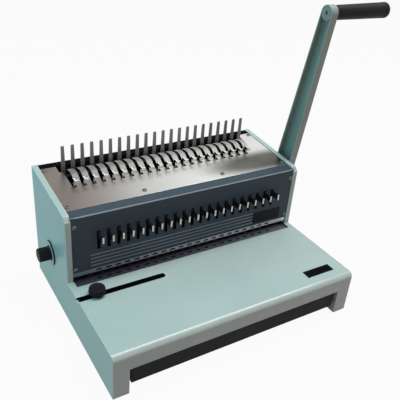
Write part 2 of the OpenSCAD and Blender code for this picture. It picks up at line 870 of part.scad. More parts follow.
module punch_pins() {
    place() color([0.7, 0.7, 0.72]) for (k = [1 : n_pin])
        box([comb_x(k) - pin_w / 2, pin_y - pin_d / 2, guide_bot + gap],
            [comb_x(k) + pin_w / 2, pin_y + pin_d / 2, pin_top]);
}

// Hook carriage with its racks, the hooks and the rails
module hook_carriage() {
    rack_top = -hook_rp - tooth_root;
    rack_bot = rack_top - hrack_body;
    place() color([0.4, 0.41, 0.43]) incline() union() {
        box([-carr_x, carr_front, carr_bot], [carr_x, carr_rear, carr_top]);
        both() {
            box([hook_x0, carr_rear - carr_arm, rack_bot], [hook_x1, carr_rear, carr_bot + over]);
            box([hook_x0, hrack_front, rack_bot], [hook_x1, carr_rear, rack_top]);
            yz(hook_x0, hook_x1) translate([0, -hook_rp])
                rack_teeth(hrack_front + over, hrack_tooth_end);
        }
    }
}
module hooks() {
    y0 = hook_front;
    y1 = hook_front + hook_deep;
    z1 = plate_top + hook_up;
    place() color([0.8, 0.8, 0.78]) incline() for (k = [1 : n_pin])
        yz(slot_x(k) + hook_off - hook_t / 2, slot_x(k) + hook_off + hook_t / 2)
            polygon([[y0, carr_top], [y1, carr_top], [y1, z1 - over], [y1 - over, z1],
                [y0 - hook_nose, z1], [y0 - hook_nose, z1 - hook_nose_h],
                [y0, z1 - hook_nose_h]]);
}
module carriage_rails() {
    place() color([0.4, 0.4, 0.41]) incline() both()
        box([rail_x, rail_front, carr_bot - gap - rail_t], [in_x, rail_rear, carr_bot - gap]);
}

// Torsion spring round the shaft: close-wound turns and a leg down to the deck
module return_spring() {
    place() color([0.55, 0.56, 0.58]) union() {
        translate([0, shaft_y, shaft_z]) rotate([0, 90, 0]) rotate_extrude()
            for (i = [0 : spring_n - 1])
                translate([spring_r, i * wire_p - spring_x]) circle(wire_r);
        translate([spring_x, shaft_y + spring_r, shaft_z]) rotate([-90, 0, 0])
            cylinder(h = spring_leg, r = leg_r);
        translate([spring_x, shaft_y + spring_r + spring_leg, deck_top])
            cylinder(h = shaft_z - deck_top + 2 * wire_r, r = wire_r);
        translate([-spring_x, shaft_y - spring_r, shaft_z]) rotate([90, 0, 0])
            cylinder(h = spring_leg, r = leg_r);
    }
}

// Margin control
module margin_knob() {
    place() color([0.05, 0.05, 0.05]) difference() {
        union() {
            xcyl(knob_x0, knob_x1 - disc_t / 2, margin_knob_r, margin_y, margin_z);
            xcyl(knob_x1 - disc_t, knob_x1, disc_r, margin_y, margin_z);
        }
        xcyl(knob_x0 + stud_sink, knob_x1 + over, spindle_r + seat, margin_y, margin_z);
    }
}
module margin_spindle() {
    place() color([0.6, 0.6, 0.62]) union() {
        xcyl(knob_x0 + stud_sink + gap, cam_x1 + over, spindle_r, margin_y, margin_z);
        yz(cam_x0, cam_x1) translate([margin_y, margin_z])
            polygon([for (i = [0 : cam_n - 1])
                let (a = 360 * i / cam_n - 180, r = cam_r0 + cam_rise * (1 - abs(a) / 180))
                r * [cos(a), sin(a)]]);
    }
}
module back_gauge() {
    tab_y = margin_y - cam_r0 - cam_gap;
    place() color([0.65, 0.65, 0.66]) union() {
        box([-gauge_x, gauge_y0, gauge_z], [gauge_x, gauge_y1, gauge_z + gauge_t]);
        box([gauge_arm_x0, gauge_y0, gauge_z], [gauge_arm_x1, tab_y, gauge_z + gauge_t]);
        box([gauge_tab_x0, tab_y - gauge_tab_t, gauge_z],
            [gauge_arm_x1, tab_y, gauge_z + gauge_t]);
        box([gauge_tab_x0, tab_y - gauge_tab_t, gauge_z],
            [cam_x1 + over, tab_y, gauge_z + gauge_tab_h]);
    }
}

// One pull tab
module pull_tab(k) {
    place() color([0.7, 0.7, 0.68])
        box([comb_x(k) - tab_t / 2, -tab_reach, tab_z],
            [comb_x(k) + tab_t / 2, tab_rear, tab_z + tab_h]);
}

base_housing();
tower_deck();
rubber_feet();
tray_runners();
chip_tray();
tray_sides();
tray_ends();
edge_rail();
edge_stop();
edge_knob();
left_cheek();
right_cheek();
front_panel();
top_plate();
cover_screws();
rear_cover();
tine_bar();
tines();
die_plate();
guide_spacers();
punch_guide();
guide_rods();
shaft_bushes();
lever_shaft();
lever_arm();
lever_bolt();
grip();
grip_bolt();
punch_pinions();
hook_pinions();
punch_bar();
punch_pins();
hook_carriage();
hooks();
carriage_rails();
return_spring();
margin_knob();
margin_spindle();
back_gauge();
pull_tab(1);  // pull_tab_01
pull_tab(2);  // pull_tab_02
pull_tab(3);  // pull_tab_03
pull_tab(4);  // pull_tab_04
pull_tab(5);  // pull_tab_05
pull_tab(6);  // pull_tab_06
pull_tab(7);  // pull_tab_07
pull_tab(8);  // pull_tab_08
pull_tab(9);  // pull_tab_09
pull_tab(10);  // pull_tab_10
pull_tab(11);  // pull_tab_11
pull_tab(12);  // pull_tab_12
pull_tab(13);  // pull_tab_13
pull_tab(14);  // pull_tab_14
pull_tab(15);  // pull_tab_15
pull_tab(16);  // pull_tab_16
pull_tab(17);  // pull_tab_17
pull_tab(18);  // pull_tab_18
pull_tab(19);  // pull_tab_19
pull_tab(20);  // pull_tab_20
pull_tab(21);  // pull_tab_21
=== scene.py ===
"""Looks of a desk comb-binding machine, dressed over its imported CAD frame.

The machine frame has X to the right from the middle of the body, Y to the rear from the
tower's front face and Z up from the table top, in millimetres. Sizes and places are given
in it unless they say otherwise, and row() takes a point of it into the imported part's frame.
"""

from __future__ import annotations

import logging
import math
from dataclasses import dataclass
from enum import Enum
from functools import cache
from typing import Callable

import bpy
from mathutils import Matrix, Vector


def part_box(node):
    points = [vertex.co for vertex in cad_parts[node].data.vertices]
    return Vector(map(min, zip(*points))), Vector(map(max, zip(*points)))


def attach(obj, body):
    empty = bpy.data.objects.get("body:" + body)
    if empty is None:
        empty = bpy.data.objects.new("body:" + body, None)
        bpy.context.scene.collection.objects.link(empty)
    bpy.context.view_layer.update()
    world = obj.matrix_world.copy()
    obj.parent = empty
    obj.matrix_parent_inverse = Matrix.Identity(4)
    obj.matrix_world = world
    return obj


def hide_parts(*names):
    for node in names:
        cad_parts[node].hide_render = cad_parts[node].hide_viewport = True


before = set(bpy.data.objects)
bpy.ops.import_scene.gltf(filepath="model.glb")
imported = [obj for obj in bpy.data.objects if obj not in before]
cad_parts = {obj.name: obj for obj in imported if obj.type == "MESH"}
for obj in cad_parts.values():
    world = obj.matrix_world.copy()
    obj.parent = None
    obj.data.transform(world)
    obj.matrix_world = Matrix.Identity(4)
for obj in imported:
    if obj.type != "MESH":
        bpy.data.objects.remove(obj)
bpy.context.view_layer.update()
LOG = logging.getLogger("comb_binder")

MM = 0.001  # metres
SHIFT = Vector((-49.5, 6.5, 70.5))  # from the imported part's origin to the machine frame's
PITCH = 14.2875  # from one punched hole to the next
HOLES = 21
SLOPE = math.radians(4.66)  # of the tower's top, up to the rear
TOP_FRONT = 99.25  # height of that top at its front edge
WELD = 0.002  # corners nearer than this are one
FLAT = math.radians(0.6)  # faces that meet at less than this are one
SHARP = 40.0  # degrees at which an edge is rounded
FACING = 0.9  # part of a normal along an axis that a face on it has
BUMP_STRENGTH = 0.6

Pair = tuple[float, float]
Triple = tuple[float, float, float]
Colour = Triple
Piece = bpy.types.Object
Face = bpy.types.MeshPolygon
Node = bpy.types.Node
Socket = bpy.types.NodeSocket
Tree = bpy.types.NodeTree
GroupParts = tuple[Tree, bpy.types.NodeOutputs, bpy.types.NodeInputs]
FaceTest = Callable[[Face], bool]
EdgeTest = Callable[[Vector, Vector], bool]


def row(x: float, y: float, z: float) -> Vector:
    """Give a machine-frame point, in millimetres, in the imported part's frame, in metres."""
    return (Vector((x, y, z)) + SHIFT) * MM


def top_at(y: float) -> float:
    """Give the height of the tower's sloping top at a place in Y."""
    return TOP_FRONT + y * math.tan(SLOPE)


def add(tree: Tree, kind: str, inputs: dict[str | int, object], **settings: object) -> Node:
    """Add a shader node to a tree.

    Args:
        tree: The node tree.
        kind: Type of the node, without the word that all types begin with.
        inputs: A value or a socket for each input that is set.
        **settings: The node's own settings.

    Returns:
        The node.
    """
    node = tree.nodes.new("ShaderNode" + kind)
    for label, value in settings.items():
        setattr(node, label, value)
    for label, value in inputs.items():
        if isinstance(value, Socket):
            tree.links.new(value, node.inputs[label])
        else:
            node.inputs[label].default_value = value
    return node


def mix(tree: Tree, mask: Socket, low: Colour | Socket, high: Colour | Socket) -> Socket:
    """Mix two colours by a mask that is 0 for the first and 1 for the second."""
    ends = [end if isinstance(end, Socket) else (*end, 1.0) for end in (low, high)]
    return add(tree, "Mix", {0: mask, 6: ends[0], 7: ends[1]}, data_type="RGBA").outputs[2]


def spread(tree: Tree, value: Socket, low: float, high: float) -> Socket:
    """Spread a 0 to 1 value between two numbers."""
    return add(tree, "MapRange", {"Value": value, "To Min": low, "To Max": high}).outputs["Result"]


def fade(tree: Tree, value: Socket, none: float, full: float) -> Socket:
    """Give a mask that goes smoothly from 0 at one value to 1 at another."""
    ends = {"Value": value, "From Min": none, "From Max": full}
    return add(tree, "MapRange", ends, interpolation_type="SMOOTHSTEP").outputs["Result"]


class Groups:
    """Shader node groups that several finishes share, each built once."""

    @staticmethod
    def _start(name: str, inputs: dict[str, float], outputs: list[str]) -> GroupParts:
        """Open a new group with a vector input.

        Args:
            name: Name of the group.
            inputs: Names and defaults of its float inputs.
            outputs: Names of its float outputs.

        Returns:
            The group, what it is given and what it puts out.
        """
        tree = bpy.data.node_groups.new(name, "ShaderNodeTree")
        new = tree.interface.new_socket
        new("Vector", in_out="INPUT", socket_type="NodeSocketVector")
        for label, value in inputs.items():
            new(label, in_out="INPUT", socket_type="NodeSocketFloat").default_value = value
        for label in outputs:
            new(label, in_out="OUTPUT", socket_type="NodeSocketFloat")
        source, sink = (tree.nodes.new(kind) for kind in ("NodeGroupInput", "NodeGroupOutput"))
        return tree, source.outputs, sink.inputs

    @staticmethod
    def _noise(tree: Tree, place: Socket, scale: Socket | float, detail: float,
               rough: float) -> Socket:
        """Add noise of a scale, of so many octaves, the finer ones at a weight."""
        inputs = {"Vector": place, "Scale": scale, "Detail": detail, "Roughness": rough}
        return add(tree, "TexNoise", inputs).outputs["Fac"]

    @staticmethod
    @cache
    def mottle() -> Tree:
        """Slow patches and a fine grain, as on sprayed paint and moulded plastic.

        Returns:
            The group.
        """
        scales = {"Patch Scale": 14.0, "Grain Scale": 900.0}
        tree, given, out = Groups._start("surface_mottle", scales, ["Patch", "Grain"])
        patch = Groups._noise(tree, given["Vector"], given["Patch Scale"], detail=3.0, rough=0.55)
        grain = Groups._noise(tree, given["Vector"], given["Grain Scale"], detail=2.0, rough=0.5)
        clear = add(tree, "MapRange", {"Value": patch, "From Min": 0.3, "From Max": 0.7})
        tree.links.new(clear.outputs["Result"], out["Patch"])
        tree.links.new(grain, out["Grain"])
        return tree

    @staticmethod
    @cache
    def brush_lines() -> Tree:
        """Long fine scratches along X, as on brushed sheet steel.

        Returns:
            The group.
        """
        scales = {"Across": 2600.0, "Along": 9.0}
        tree, given, out = Groups._start("brush_lines", scales, ["Lines", "Broad"])
        for label, share, detail in (("Lines", 1.0, 4.0), ("Broad", 0.08, 2.0)):
            fine = {0: given["Across"], 1: share}
            across = add(tree, "Math", fine, operation="MULTIPLY").outputs[0]
            scale = add(tree, "CombineXYZ", {"X": given["Along"], "Y": across, "Z": across})
            stretch = {0: given["Vector"], 1: scale.outputs[0]}
            place = add(tree, "VectorMath", stretch, operation="MULTIPLY").outputs[0]
            lines = Groups._noise(tree, place, 1.0, detail, rough=0.6)
            tree.links.new(lines, out[label])
        return tree

    @staticmethod
    @cache
    def scuffs() -> Tree:
        """Sparse marks from handling, 0 on clean and 1 on worn places.

        Returns:
            The group.
        """
        levels = {"Scale": 60.0, "Rarity": 0.62}
        tree, given, out = Groups._start("handling_scuffs", levels, ["Mask"])
        fine = Groups._noise(tree, given["Vector"], given["Scale"], detail=6.0, rough=0.7)
        top = add(tree, "Math", {0: given["Rarity"], 1: 0.12}, operation="ADD").outputs[0]
        ends = {"Value": fine, "From Min": given["Rarity"], "From Max": top}
        tree.links.new(add(tree, "MapRange", ends).outputs["Result"], out["Mask"])
        return tree


@dataclass(frozen=True)
class Finish:
    """One finish: a base colour broken up by patches, grain and scuffs.

    Attributes:
        name: Name of the material.
        slot: The record's material slot; not used.
        colour: Linear base colour.
        patch: Second colour, in slow patches.
        worn: Colour where handling has worn the surface.
        rough: Lowest and highest roughness.
        metal: Metallic share.
        grain: Scale of the fine grain.
        bump: Height of the grain in millimetres.
        rarity: Noise level over which wear shows.
        coat: Weight of a clear coat.
        coat_rough: Roughness of the clear coat.
        gloss: Specular level of what isn't metal.
    """

    name: str
    slot: str
    colour: Colour
    patch: Colour
    worn: Colour
    rough: Pair
    metal: float = 0.0
    grain: float = 1500.0
    bump: float = 0.02
    rarity: float = 0.66
    coat: float = 0.0
    coat_rough: float = 0.25
    gloss: float = 0.5

    def material(self) -> bpy.types.Material:
        """Give the finish's material, built on first use.

        Returns:
            The material.
        """
        made = bpy.data.materials.get(self.name)
        if made is not None:
            return made
        made = bpy.data.materials.new(self.name)
        made.use_nodes = True
        made.diffuse_color = (*self.colour, 1.0)
        tree = made.node_tree
        shader = tree.nodes["Principled BSDF"].inputs
        shader["Metallic"].default_value = self.metal
        shader["Coat Weight"].default_value = self.coat
        shader["Coat Roughness"].default_value = self.coat_rough
        shader["Specular IOR Level"].default_value = self.gloss
        place = add(tree, "TexCoord", {}).outputs["Object"]
        colour, rough, height = self._surface(tree, place)
        raised = {"Strength": BUMP_STRENGTH, "Distance": self.bump * MM, "Height": height}
        tree.links.new(colour, shader["Base Color"])
        tree.links.new(rough, shader["Roughness"])
        tree.links.new(add(tree, "Bump", raised).outputs["Normal"], shader["Normal"])
        return made

    def _surface(self, tree: Tree, place: Socket) -> tuple[Socket, Socket, Socket]:
        """Lay patches, scuffs and grain over the finish.

        Args:
            tree: The material's node tree.
            place: The object coordinates.

        Returns:
            The colour, the roughness and the height.
        """
        grained = {"Vector": place, "Grain Scale": self.grain}
        mottle = add(tree, "Group", grained, node_tree=Groups.mottle()).outputs
        rubbed = {"Vector": place, "Rarity": self.rarity}
        scuffs = add(tree, "Group", rubbed, node_tree=Groups.scuffs()).outputs
        body = mix(tree, mottle["Patch"], self.colour, self.patch)
        colour = mix(tree, scuffs["Mask"], body, self.worn)
        return colour, spread(tree, mottle["Patch"], *self.rough), mottle["Grain"]


@dataclass(frozen=True, kw_only=True)
class BrushedFinish(Finish):
    """Brushed sheet steel, its colour shifting towards one end, with a soft dark patch at a corner.

    Attributes:
        end_tint: Colour at the end that the colour shifts to.
        span: Places in X, in metres, of the full end tint and of none.
        painted_reflection: Colour in the middle of the dark patch, a painted reflection.
        reflection_mid: Middle of the patch, in metres, and off the machine where there is none.
        reflection_reach: Its half lengths along the three axes, in metres.
    """

    end_tint: Colour
    span: Pair = (-0.23, 0.1)
    painted_reflection: Colour = (0.6, 0.6, 0.58)
    reflection_mid: Triple = (0.0, 0.0, -1.0)
    reflection_reach: Triple = (0.1, 0.1, 0.1)

    def _surface(self, tree: Tree, place: Socket) -> tuple[Socket, Socket, Socket]:
        """Lay brush lines, the end tint, the painted dark reflection and dull patches over the
        finish.

        Args:
            tree: The material's node tree.
            place: The object coordinates.

        Returns:
            The colour, the roughness and the height.
        """
        lines = add(tree, "Group", {"Vector": place}, node_tree=Groups.brush_lines()).outputs
        slow = {"Vector": place, "Patch Scale": 9.0}
        mottle = add(tree, "Group", slow, node_tree=Groups.mottle()).outputs
        x = add(tree, "SeparateXYZ", {0: place}).outputs["X"]
        away = place
        for work, point in (("SUBTRACT", self.reflection_mid), ("DIVIDE", self.reflection_reach)):
            away = add(tree, "VectorMath", {0: away, 1: point}, operation=work).outputs[0]
        length = add(tree, "VectorMath", {0: away}, operation="LENGTH").outputs["Value"]
        colour = mix(tree, lines["Lines"], self.colour, self.patch)
        full, none = self.span
        # On the top plate and its fingers the shift towards the end tint is painted reflection, on
        # the guide's lip painted highlight; the dark patch laid next is painted reflection.
        colour = mix(tree, fade(tree, x, none, full), colour, self.end_tint)
        colour = mix(tree, fade(tree, length, none=1.0, full=0.35), colour, self.painted_reflection)
        dull = spread(tree, mottle["Patch"], low=0.0, high=0.32)
        colour = mix(tree, dull, colour, self.worn)
        return colour, spread(tree, lines["Broad"], *self.rough), lines["Lines"]


class Looks(Enum):
    """Every finish on the machine."""

    PAINT = Finish(
        "pale_green_paint", "painted", (0.41, 0.54, 0.515), (0.445, 0.575, 0.55),
        (0.33, 0.46, 0.44), (0.42, 0.52), bump=0.03, rarity=0.68, coat=0.12, coat_rough=0.2,
        gloss=0.15)
    PAINT_BEND = Finish(
        "pale_green_paint_bend", "painted", (0.41, 0.54, 0.515), (0.445, 0.575, 0.55),
        (0.36, 0.5, 0.48), (0.4, 0.5), bump=0.01, rarity=0.68, coat=1.0, coat_rough=0.17,
        gloss=0.3)
    # Painted shade: a darker copy of the green paint for the lever's arm.
    LEVER_PAINT = Finish(
        "shaded_green_paint", "painted", (0.27, 0.355, 0.325), (0.3, 0.385, 0.355),
        (0.27, 0.37, 0.35), (0.4, 0.5), bump=0.03, rarity=0.68, coat=0.3, coat_rough=0.2,
        gloss=0.2)
    # Painted highlight with wear: lighter paint for the rounded edges of the housing and cheeks.
    PAINT_EDGE = Finish(
        "pale_green_edge_highlight_and_wear", "painted", (0.5, 0.63, 0.6), (0.56, 0.68, 0.65),
        (0.62, 0.64, 0.6), (0.3, 0.42), rarity=0.58, coat=0.2)
    SLATE = Finish(
        "slate_texture_paint", "slate", (0.042, 0.066, 0.087), (0.05, 0.076, 0.099),
        (0.07, 0.09, 0.11), (0.46, 0.58), grain=1900.0, bump=0.05, rarity=0.7, gloss=0.15)
    RIB = Finish(
        "rib_grey_paint", "slate", (0.16, 0.21, 0.25), (0.21, 0.26, 0.3), (0.28, 0.3, 0.31),
        (0.4, 0.5), grain=1800.0, bump=0.03, rarity=0.6, gloss=0.2)
    # Painted highlight: paler paint on the rounded bend at the front panel's top.
    BEND_LINE = Finish(
        "bend_highlight_paint", "slate", (0.25, 0.3, 0.34), (0.34, 0.39, 0.43), (0.2, 0.24, 0.28),
        (0.35, 0.45), grain=1800.0, rarity=0.58, gloss=0.3)
    # Painted reflection: the plate darkens, brownish, towards its left end and has a soft dark
    # patch at its right front.
    PLATE = BrushedFinish(
        "brushed_top_plate", "brushed_plate", (0.6, 0.62, 0.6), (0.84, 0.85, 0.83),
        (0.4, 0.37, 0.34), (0.26, 0.42), metal=1.0, end_tint=(0.165, 0.135, 0.118),
        span=(-0.24, -0.03), painted_reflection=(0.07, 0.075, 0.062), reflection_mid=(0.1, 0.047, 0.175),
        reflection_reach=(0.135, 0.037, 0.2))
    # Painted reflection: the fingers darken towards the left end as the plate does.
    FINGER = BrushedFinish(
        "dull_finger_steel", "brushed_plate", (0.3, 0.3, 0.285), (0.39, 0.39, 0.375),
        (0.25, 0.24, 0.23), (0.45, 0.6), metal=0.3, end_tint=(0.17, 0.158, 0.15),
        span=(-0.24, 0.02))
    PALE = Finish(
        "pale_nickel", "bright", (0.74, 0.75, 0.74), (0.82, 0.83, 0.82), (0.6, 0.6, 0.59),
        (0.35, 0.5), metal=0.35, grain=1200.0, bump=0.01, rarity=0.64)
    # Black steel: the real finish of the name plate's field and of inner parts, and painted shade
    # on slot, hole and throat walls, the hooks' and lugs' sides and the punch bar.
    BLACKENED = Finish(
        "black_steel_and_painted_shade", "black_sheet", (0.006, 0.006, 0.007), (0.009, 0.009, 0.01),
        (0.014, 0.014, 0.015), (0.6, 0.75), grain=1300.0, gloss=0.0)
    BRIGHT = BrushedFinish(
        "bright_steel", "bright", (0.66, 0.66, 0.64), (0.78, 0.78, 0.76), (0.5, 0.49, 0.47),
        (0.3, 0.46), metal=1.0, bump=0.015, end_tint=(0.6, 0.6, 0.58))
    # Painted highlight: the guide's lip is brightest at its right end and darker, bluish, towards
    # the left.
    SATIN = BrushedFinish(
        "satin_guide_steel", "bright", (0.84, 0.86, 0.9), (0.93, 0.95, 0.98), (0.5, 0.53, 0.57),
        (0.3, 0.45), metal=0.6, bump=0.015, end_tint=(0.22, 0.3, 0.39), span=(-0.25, 0.1))
    DARK_STEEL = Finish(
        "dark_steel", "dark_steel", (0.13, 0.14, 0.14), (0.18, 0.19, 0.19), (0.3, 0.3, 0.3),
        (0.34, 0.5), metal=0.85, grain=1400.0, rarity=0.6)
    TINE = Finish(
        "grey_tine_steel", "dark_steel", (0.17, 0.18, 0.17), (0.22, 0.23, 0.22),
        (0.32, 0.34, 0.34), (0.4, 0.55), metal=0.6, grain=1400.0, rarity=0.6)
    DIE = BrushedFinish(
        "blued_die_steel", "dark_steel", (0.1, 0.12, 0.15), (0.13, 0.15, 0.18),
        (0.08, 0.085, 0.1), (0.45, 0.6), metal=0.3, bump=0.015, end_tint=(0.042, 0.045, 0.065),
        span=(-0.2, 0.14))
    BLACK_SHEET = Finish(
        "black_sheet_paint", "black_sheet", (0.011, 0.011, 0.014), (0.015, 0.015, 0.018),
        (0.028, 0.028, 0.031), (0.5, 0.62), bump=0.03, rarity=0.68, gloss=0.1)
    PLASTIC = Finish(
        "black_moulded_plastic", "black_plastic", (0.007, 0.007, 0.009), (0.011, 0.011, 0.014),
        (0.03, 0.03, 0.034), (0.42, 0.58), grain=1100.0, bump=0.05, gloss=0.12)
    RUBBER = Finish(
        "black_rubber", "rubber", (0.016, 0.016, 0.016), (0.024, 0.024, 0.024),
        (0.05, 0.05, 0.048), (0.7, 0.85), grain=1300.0, bump=0.05, rarity=0.62)
    ZINC = Finish(
        "zinc_plate", "zinc", (0.34, 0.35, 0.36), (0.42, 0.43, 0.43), (0.25, 0.25, 0.25),
        (0.3, 0.45), metal=0.95, grain=700.0, rarity=0.62)
    BRONZE = Finish(
        "sintered_bronze", "bronze", (0.42, 0.27, 0.12), (0.5, 0.33, 0.15), (0.3, 0.2, 0.1),
        (0.35, 0.5), metal=0.95, grain=1600.0, bump=0.03, rarity=0.6)


class Axis(Enum):
    """Directions of the axes of turned pieces, as places in a point."""

    X = 0
    Z = 2


class Bench:
    """Mesh work that the sub-assemblies share."""

    @staticmethod
    def clear() -> None:
        """Go to object mode with nothing selected."""
        if bpy.context.object is not None and bpy.context.object.mode != "OBJECT":
            Bench.done()
        bpy.ops.object.select_all(action="DESELECT")

    @staticmethod
    def done() -> None:
        """Leave edit mode."""
        bpy.ops.object.mode_set(mode="OBJECT")

    @staticmethod
    def take(piece: Piece) -> None:
        """Make a piece the active and only selected one.

        Args:
            piece: The piece to work on.
        """
        Bench.clear()
        piece.select_set(True)
        bpy.context.view_layer.objects.active = piece

    @staticmethod
    def edit(piece: Piece, chosen: FaceTest | None = None) -> None:
        """Enter edit mode with some faces selected.

        Args:
            piece: The piece to work on.
            chosen: Test that a selected face passes, or None for all faces.
        """
        Bench.take(piece)
        bpy.ops.object.mode_set(mode="EDIT")
        bpy.ops.mesh.select_mode(type="FACE")
        bpy.ops.mesh.select_all(action="SELECT" if chosen is None else "DESELECT")
        if chosen is not None:
            Bench.done()
            for face in piece.data.polygons:
                face.select = chosen(face)
            bpy.ops.object.mode_set(mode="EDIT")

    @staticmethod
    def duplicate(source: Piece, name: str) -> Piece:
        """Copy an object with a mesh of its own.

        Args:
            source: A piece or a CAD node.
            name: Name of the copy.

        Returns:
            The copy, riding on nothing yet.
        """
        made = source.copy()
        made.data = source.data.copy()
        made.name = made.data.name = name
        made.parent = None
        for key in list(made.keys()):
            del made[key]
        bpy.context.scene.collection.objects.link(made)
        return made

    @staticmethod
    def copy_node(node: str, name: str) -> Piece:
        """Copy a CAD node into a new piece with its loose triangles joined to faces.

        Args:
            node: The CAD node.
            name: Name of the new piece.

        Returns:
            The new piece, riding on nothing yet.
        """
        piece = Bench.duplicate(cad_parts[node], name)
        Bench.take(piece)
        bpy.ops.mesh.customdata_custom_splitnormals_clear()
        Bench.edit(piece)
        bpy.ops.mesh.remove_doubles(threshold=WELD * MM)
        bpy.ops.mesh.dissolve_limited(angle_limit=FLAT)
        bpy.ops.mesh.vert_connect_concave()
        Bench.done()
        return piece

    @staticmethod
    def dress(node: str, name: str, main: Looks, others: dict[Looks, FaceTest]) -> Piece:
        """Copy a CAD node and paint it in several finishes.

        Args:
            node: The CAD node.
            name: Name of the copy.
            main: Its main finish.
            others: Further finishes, each with the test of the faces that take it.

        Returns:
            The copy, riding on nothing yet.
        """
        piece = Bench.copy_node(node, name)
        Bench.paint(piece, main, *others)
        for slot, test in enumerate(others.values(), 1):
            Bench.pick(piece, slot, test)
        return piece

    @staticmethod
    def settle(name: str) -> Piece:
        """Name a new primitive and put its place, turn and size into its mesh.

        Args:
            name: Name of the piece that is made from it.

        Returns:
            The piece.
        """
        piece = bpy.context.object
        piece.name = piece.data.name = name
        bpy.ops.object.transform_apply(location=True, rotation=True, scale=True)
        return piece

    @staticmethod
    def block(name: str, centre: Vector, size: Triple, turn: Triple = (0.0, 0.0, 0.0)) -> Piece:
        """Start a piece from a plain block.

        Args:
            name: Name of the piece.
            centre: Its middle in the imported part's frame.
            size: Its lengths along the three axes in millimetres.
            turn: Its turns about the three axes in radians.

        Returns:
            The piece.
        """
        Bench.clear()
        bpy.ops.mesh.primitive_cube_add(size=MM, location=centre, rotation=turn, scale=size)
        return Bench.settle(name)

    @staticmethod
    def turned(name: str, axis: Axis, centre: Triple, stations: list[Pair], sides: int) -> Piece:
        """Turn a closed round piece by extruding a disc from station to station.

        Args:
            name: Name of the piece.
            axis: Direction of its axis.
            centre: A point on the axis.
            stations: Places along the axis and radii there.
            sides: Corners of the disc.

        Returns:
            The piece.
        """
        spot = Vector(centre)
        spot[axis.value], first = stations[0]
        lean = math.pi / 2 if axis is Axis.X else 0.0
        Bench.clear()
        bpy.ops.mesh.primitive_circle_add(vertices=sides, radius=first * MM, fill_type="NGON",
                                          location=row(*spot), rotation=(0.0, lean, 0.0))
        piece = Bench.settle(name)
        Bench.edit(piece)
        for (start, inner), (end, outer) in zip(stations, stations[1:]):
            step, factor = Vector(), Vector((outer / inner,) * 3)
            step[axis.value] = (end - start) * MM
            factor[axis.value] = 1.0
            spot[axis.value] = end
            bpy.ops.mesh.extrude_region_move(TRANSFORM_OT_translate={"value": step})
            bpy.ops.transform.resize(value=factor, center_override=row(*spot))
        bpy.ops.mesh.select_all(action="SELECT")
        bpy.ops.mesh.normals_make_consistent(inside=False)
        Bench.done()
        return piece

    @staticmethod
    def flute(piece: Piece, axis: Axis, centre: Triple, ribs: int, reach: Pair, span: Pair,
              depth: float) -> None:
        """Press grooves into a turned piece's wall, between ribs that stay.

        Args:
            piece: The turned piece.
            axis: Direction of its axis.
            centre: A point on the axis.
            ribs: Number of grooves.
            reach: Radii between which corners move.
            span: Places along the axis between which corners move.
            depth: Depth of a groove.
        """
        middle, slack, narrow = row(*centre), 1e-6, 0.7
        rest = [i for i in range(3) if i != axis.value]
        low, high = (row(*[v] * 3)[axis.value] for v in span)
        for corner in piece.data.vertices:
            arm = corner.co - middle
            arm[axis.value] = 0.0
            if not (low - slack <= corner.co[axis.value] <= high + slack):
                continue
            if reach[0] * MM <= arm.length <= reach[1] * MM:
                turn = math.atan2(arm[rest[1]], arm[rest[0]]) / (2 * math.pi) * ribs
                wave = max(0.0, math.cos(2 * math.pi * turn)) ** narrow
                corner.co -= arm.normalized() * depth * MM * wave

    @staticmethod
    def soften(piece: Piece, width: float, segments: int = 2, edge: int = -1) -> None:
        """Round a piece's sharp edges and smooth its curves.

        Args:
            piece: The piece.
            width: Width of the rounding.
            segments: Faces across the rounding.
            edge: Material slot for the rounding, or -1 for that of the faces beside it.
        """
        Bench.take(piece)
        tool = piece.modifiers.new("rounding", "BEVEL")
        tool.width = width * MM
        tool.segments = segments
        tool.limit_method = "ANGLE"
        tool.angle_limit = math.radians(SHARP)
        tool.use_clamp_overlap = False
        tool.material = edge
        bpy.ops.object.modifier_apply(modifier=tool.name)
        Bench.smooth(piece)

    @staticmethod
    def ridge(piece: Piece, width: float, slot: int, chosen: EdgeTest) -> None:
        """Round only some of a piece's sharp edges.

        Args:
            piece: The piece.
            width: Width of the rounding.
            slot: Material slot for the rounding, or -1 for that of the faces beside it.
            chosen: Test of an edge's two ends.
        """
        Bench.edit(piece, lambda face: False)
        bpy.ops.mesh.select_mode(type="EDGE")
        bpy.ops.mesh.edges_select_sharp(sharpness=math.radians(SHARP))
        Bench.done()
        corners, edges = piece.data.vertices, piece.data.edges
        sharp = [edge.index for edge in edges if edge.select]
        picked = [i for i in sharp if chosen(*(corners[k].co for k in edges[i].vertices))]
        Bench.edit(piece, lambda face: False)
        bpy.ops.mesh.select_mode(type="EDGE")
        Bench.done()
        for i in picked:
            piece.data.edges[i].select = True
        bpy.ops.object.mode_set(mode="EDIT")
        bpy.ops.mesh.bevel(offset=width * MM, segments=3, affect="EDGES", material=slot)
        Bench.done()

    @staticmethod
    def smooth(piece: Piece, angle: float = 32.0) -> None:
        """Shade a piece smooth where its faces meet at a small angle.

        Args:
            piece: The piece.
            angle: Largest such angle in degrees.
        """
        Bench.take(piece)
        bpy.ops.object.shade_smooth_by_angle(angle=math.radians(angle))
        tool = piece.modifiers.new("flat_faces", "WEIGHTED_NORMAL")
        tool.keep_sharp = True
        bpy.ops.object.modifier_apply(modifier=tool.name)

    @staticmethod
    def sink(*steps: Pair) -> None:
        """Inset the selected face by widths, each with a depth."""
        for width, depth in steps:
            bpy.ops.mesh.inset(thickness=width * MM, depth=-depth * MM)

    @staticmethod
    def paint(piece: Piece, *looks: Looks) -> None:
        """Fill a piece's material slots.

        Args:
            piece: The piece.
            *looks: Finishes, in the order of the slots.
        """
        piece.data.materials.clear()
        for look in looks:
            piece.data.materials.append(look.value.material())

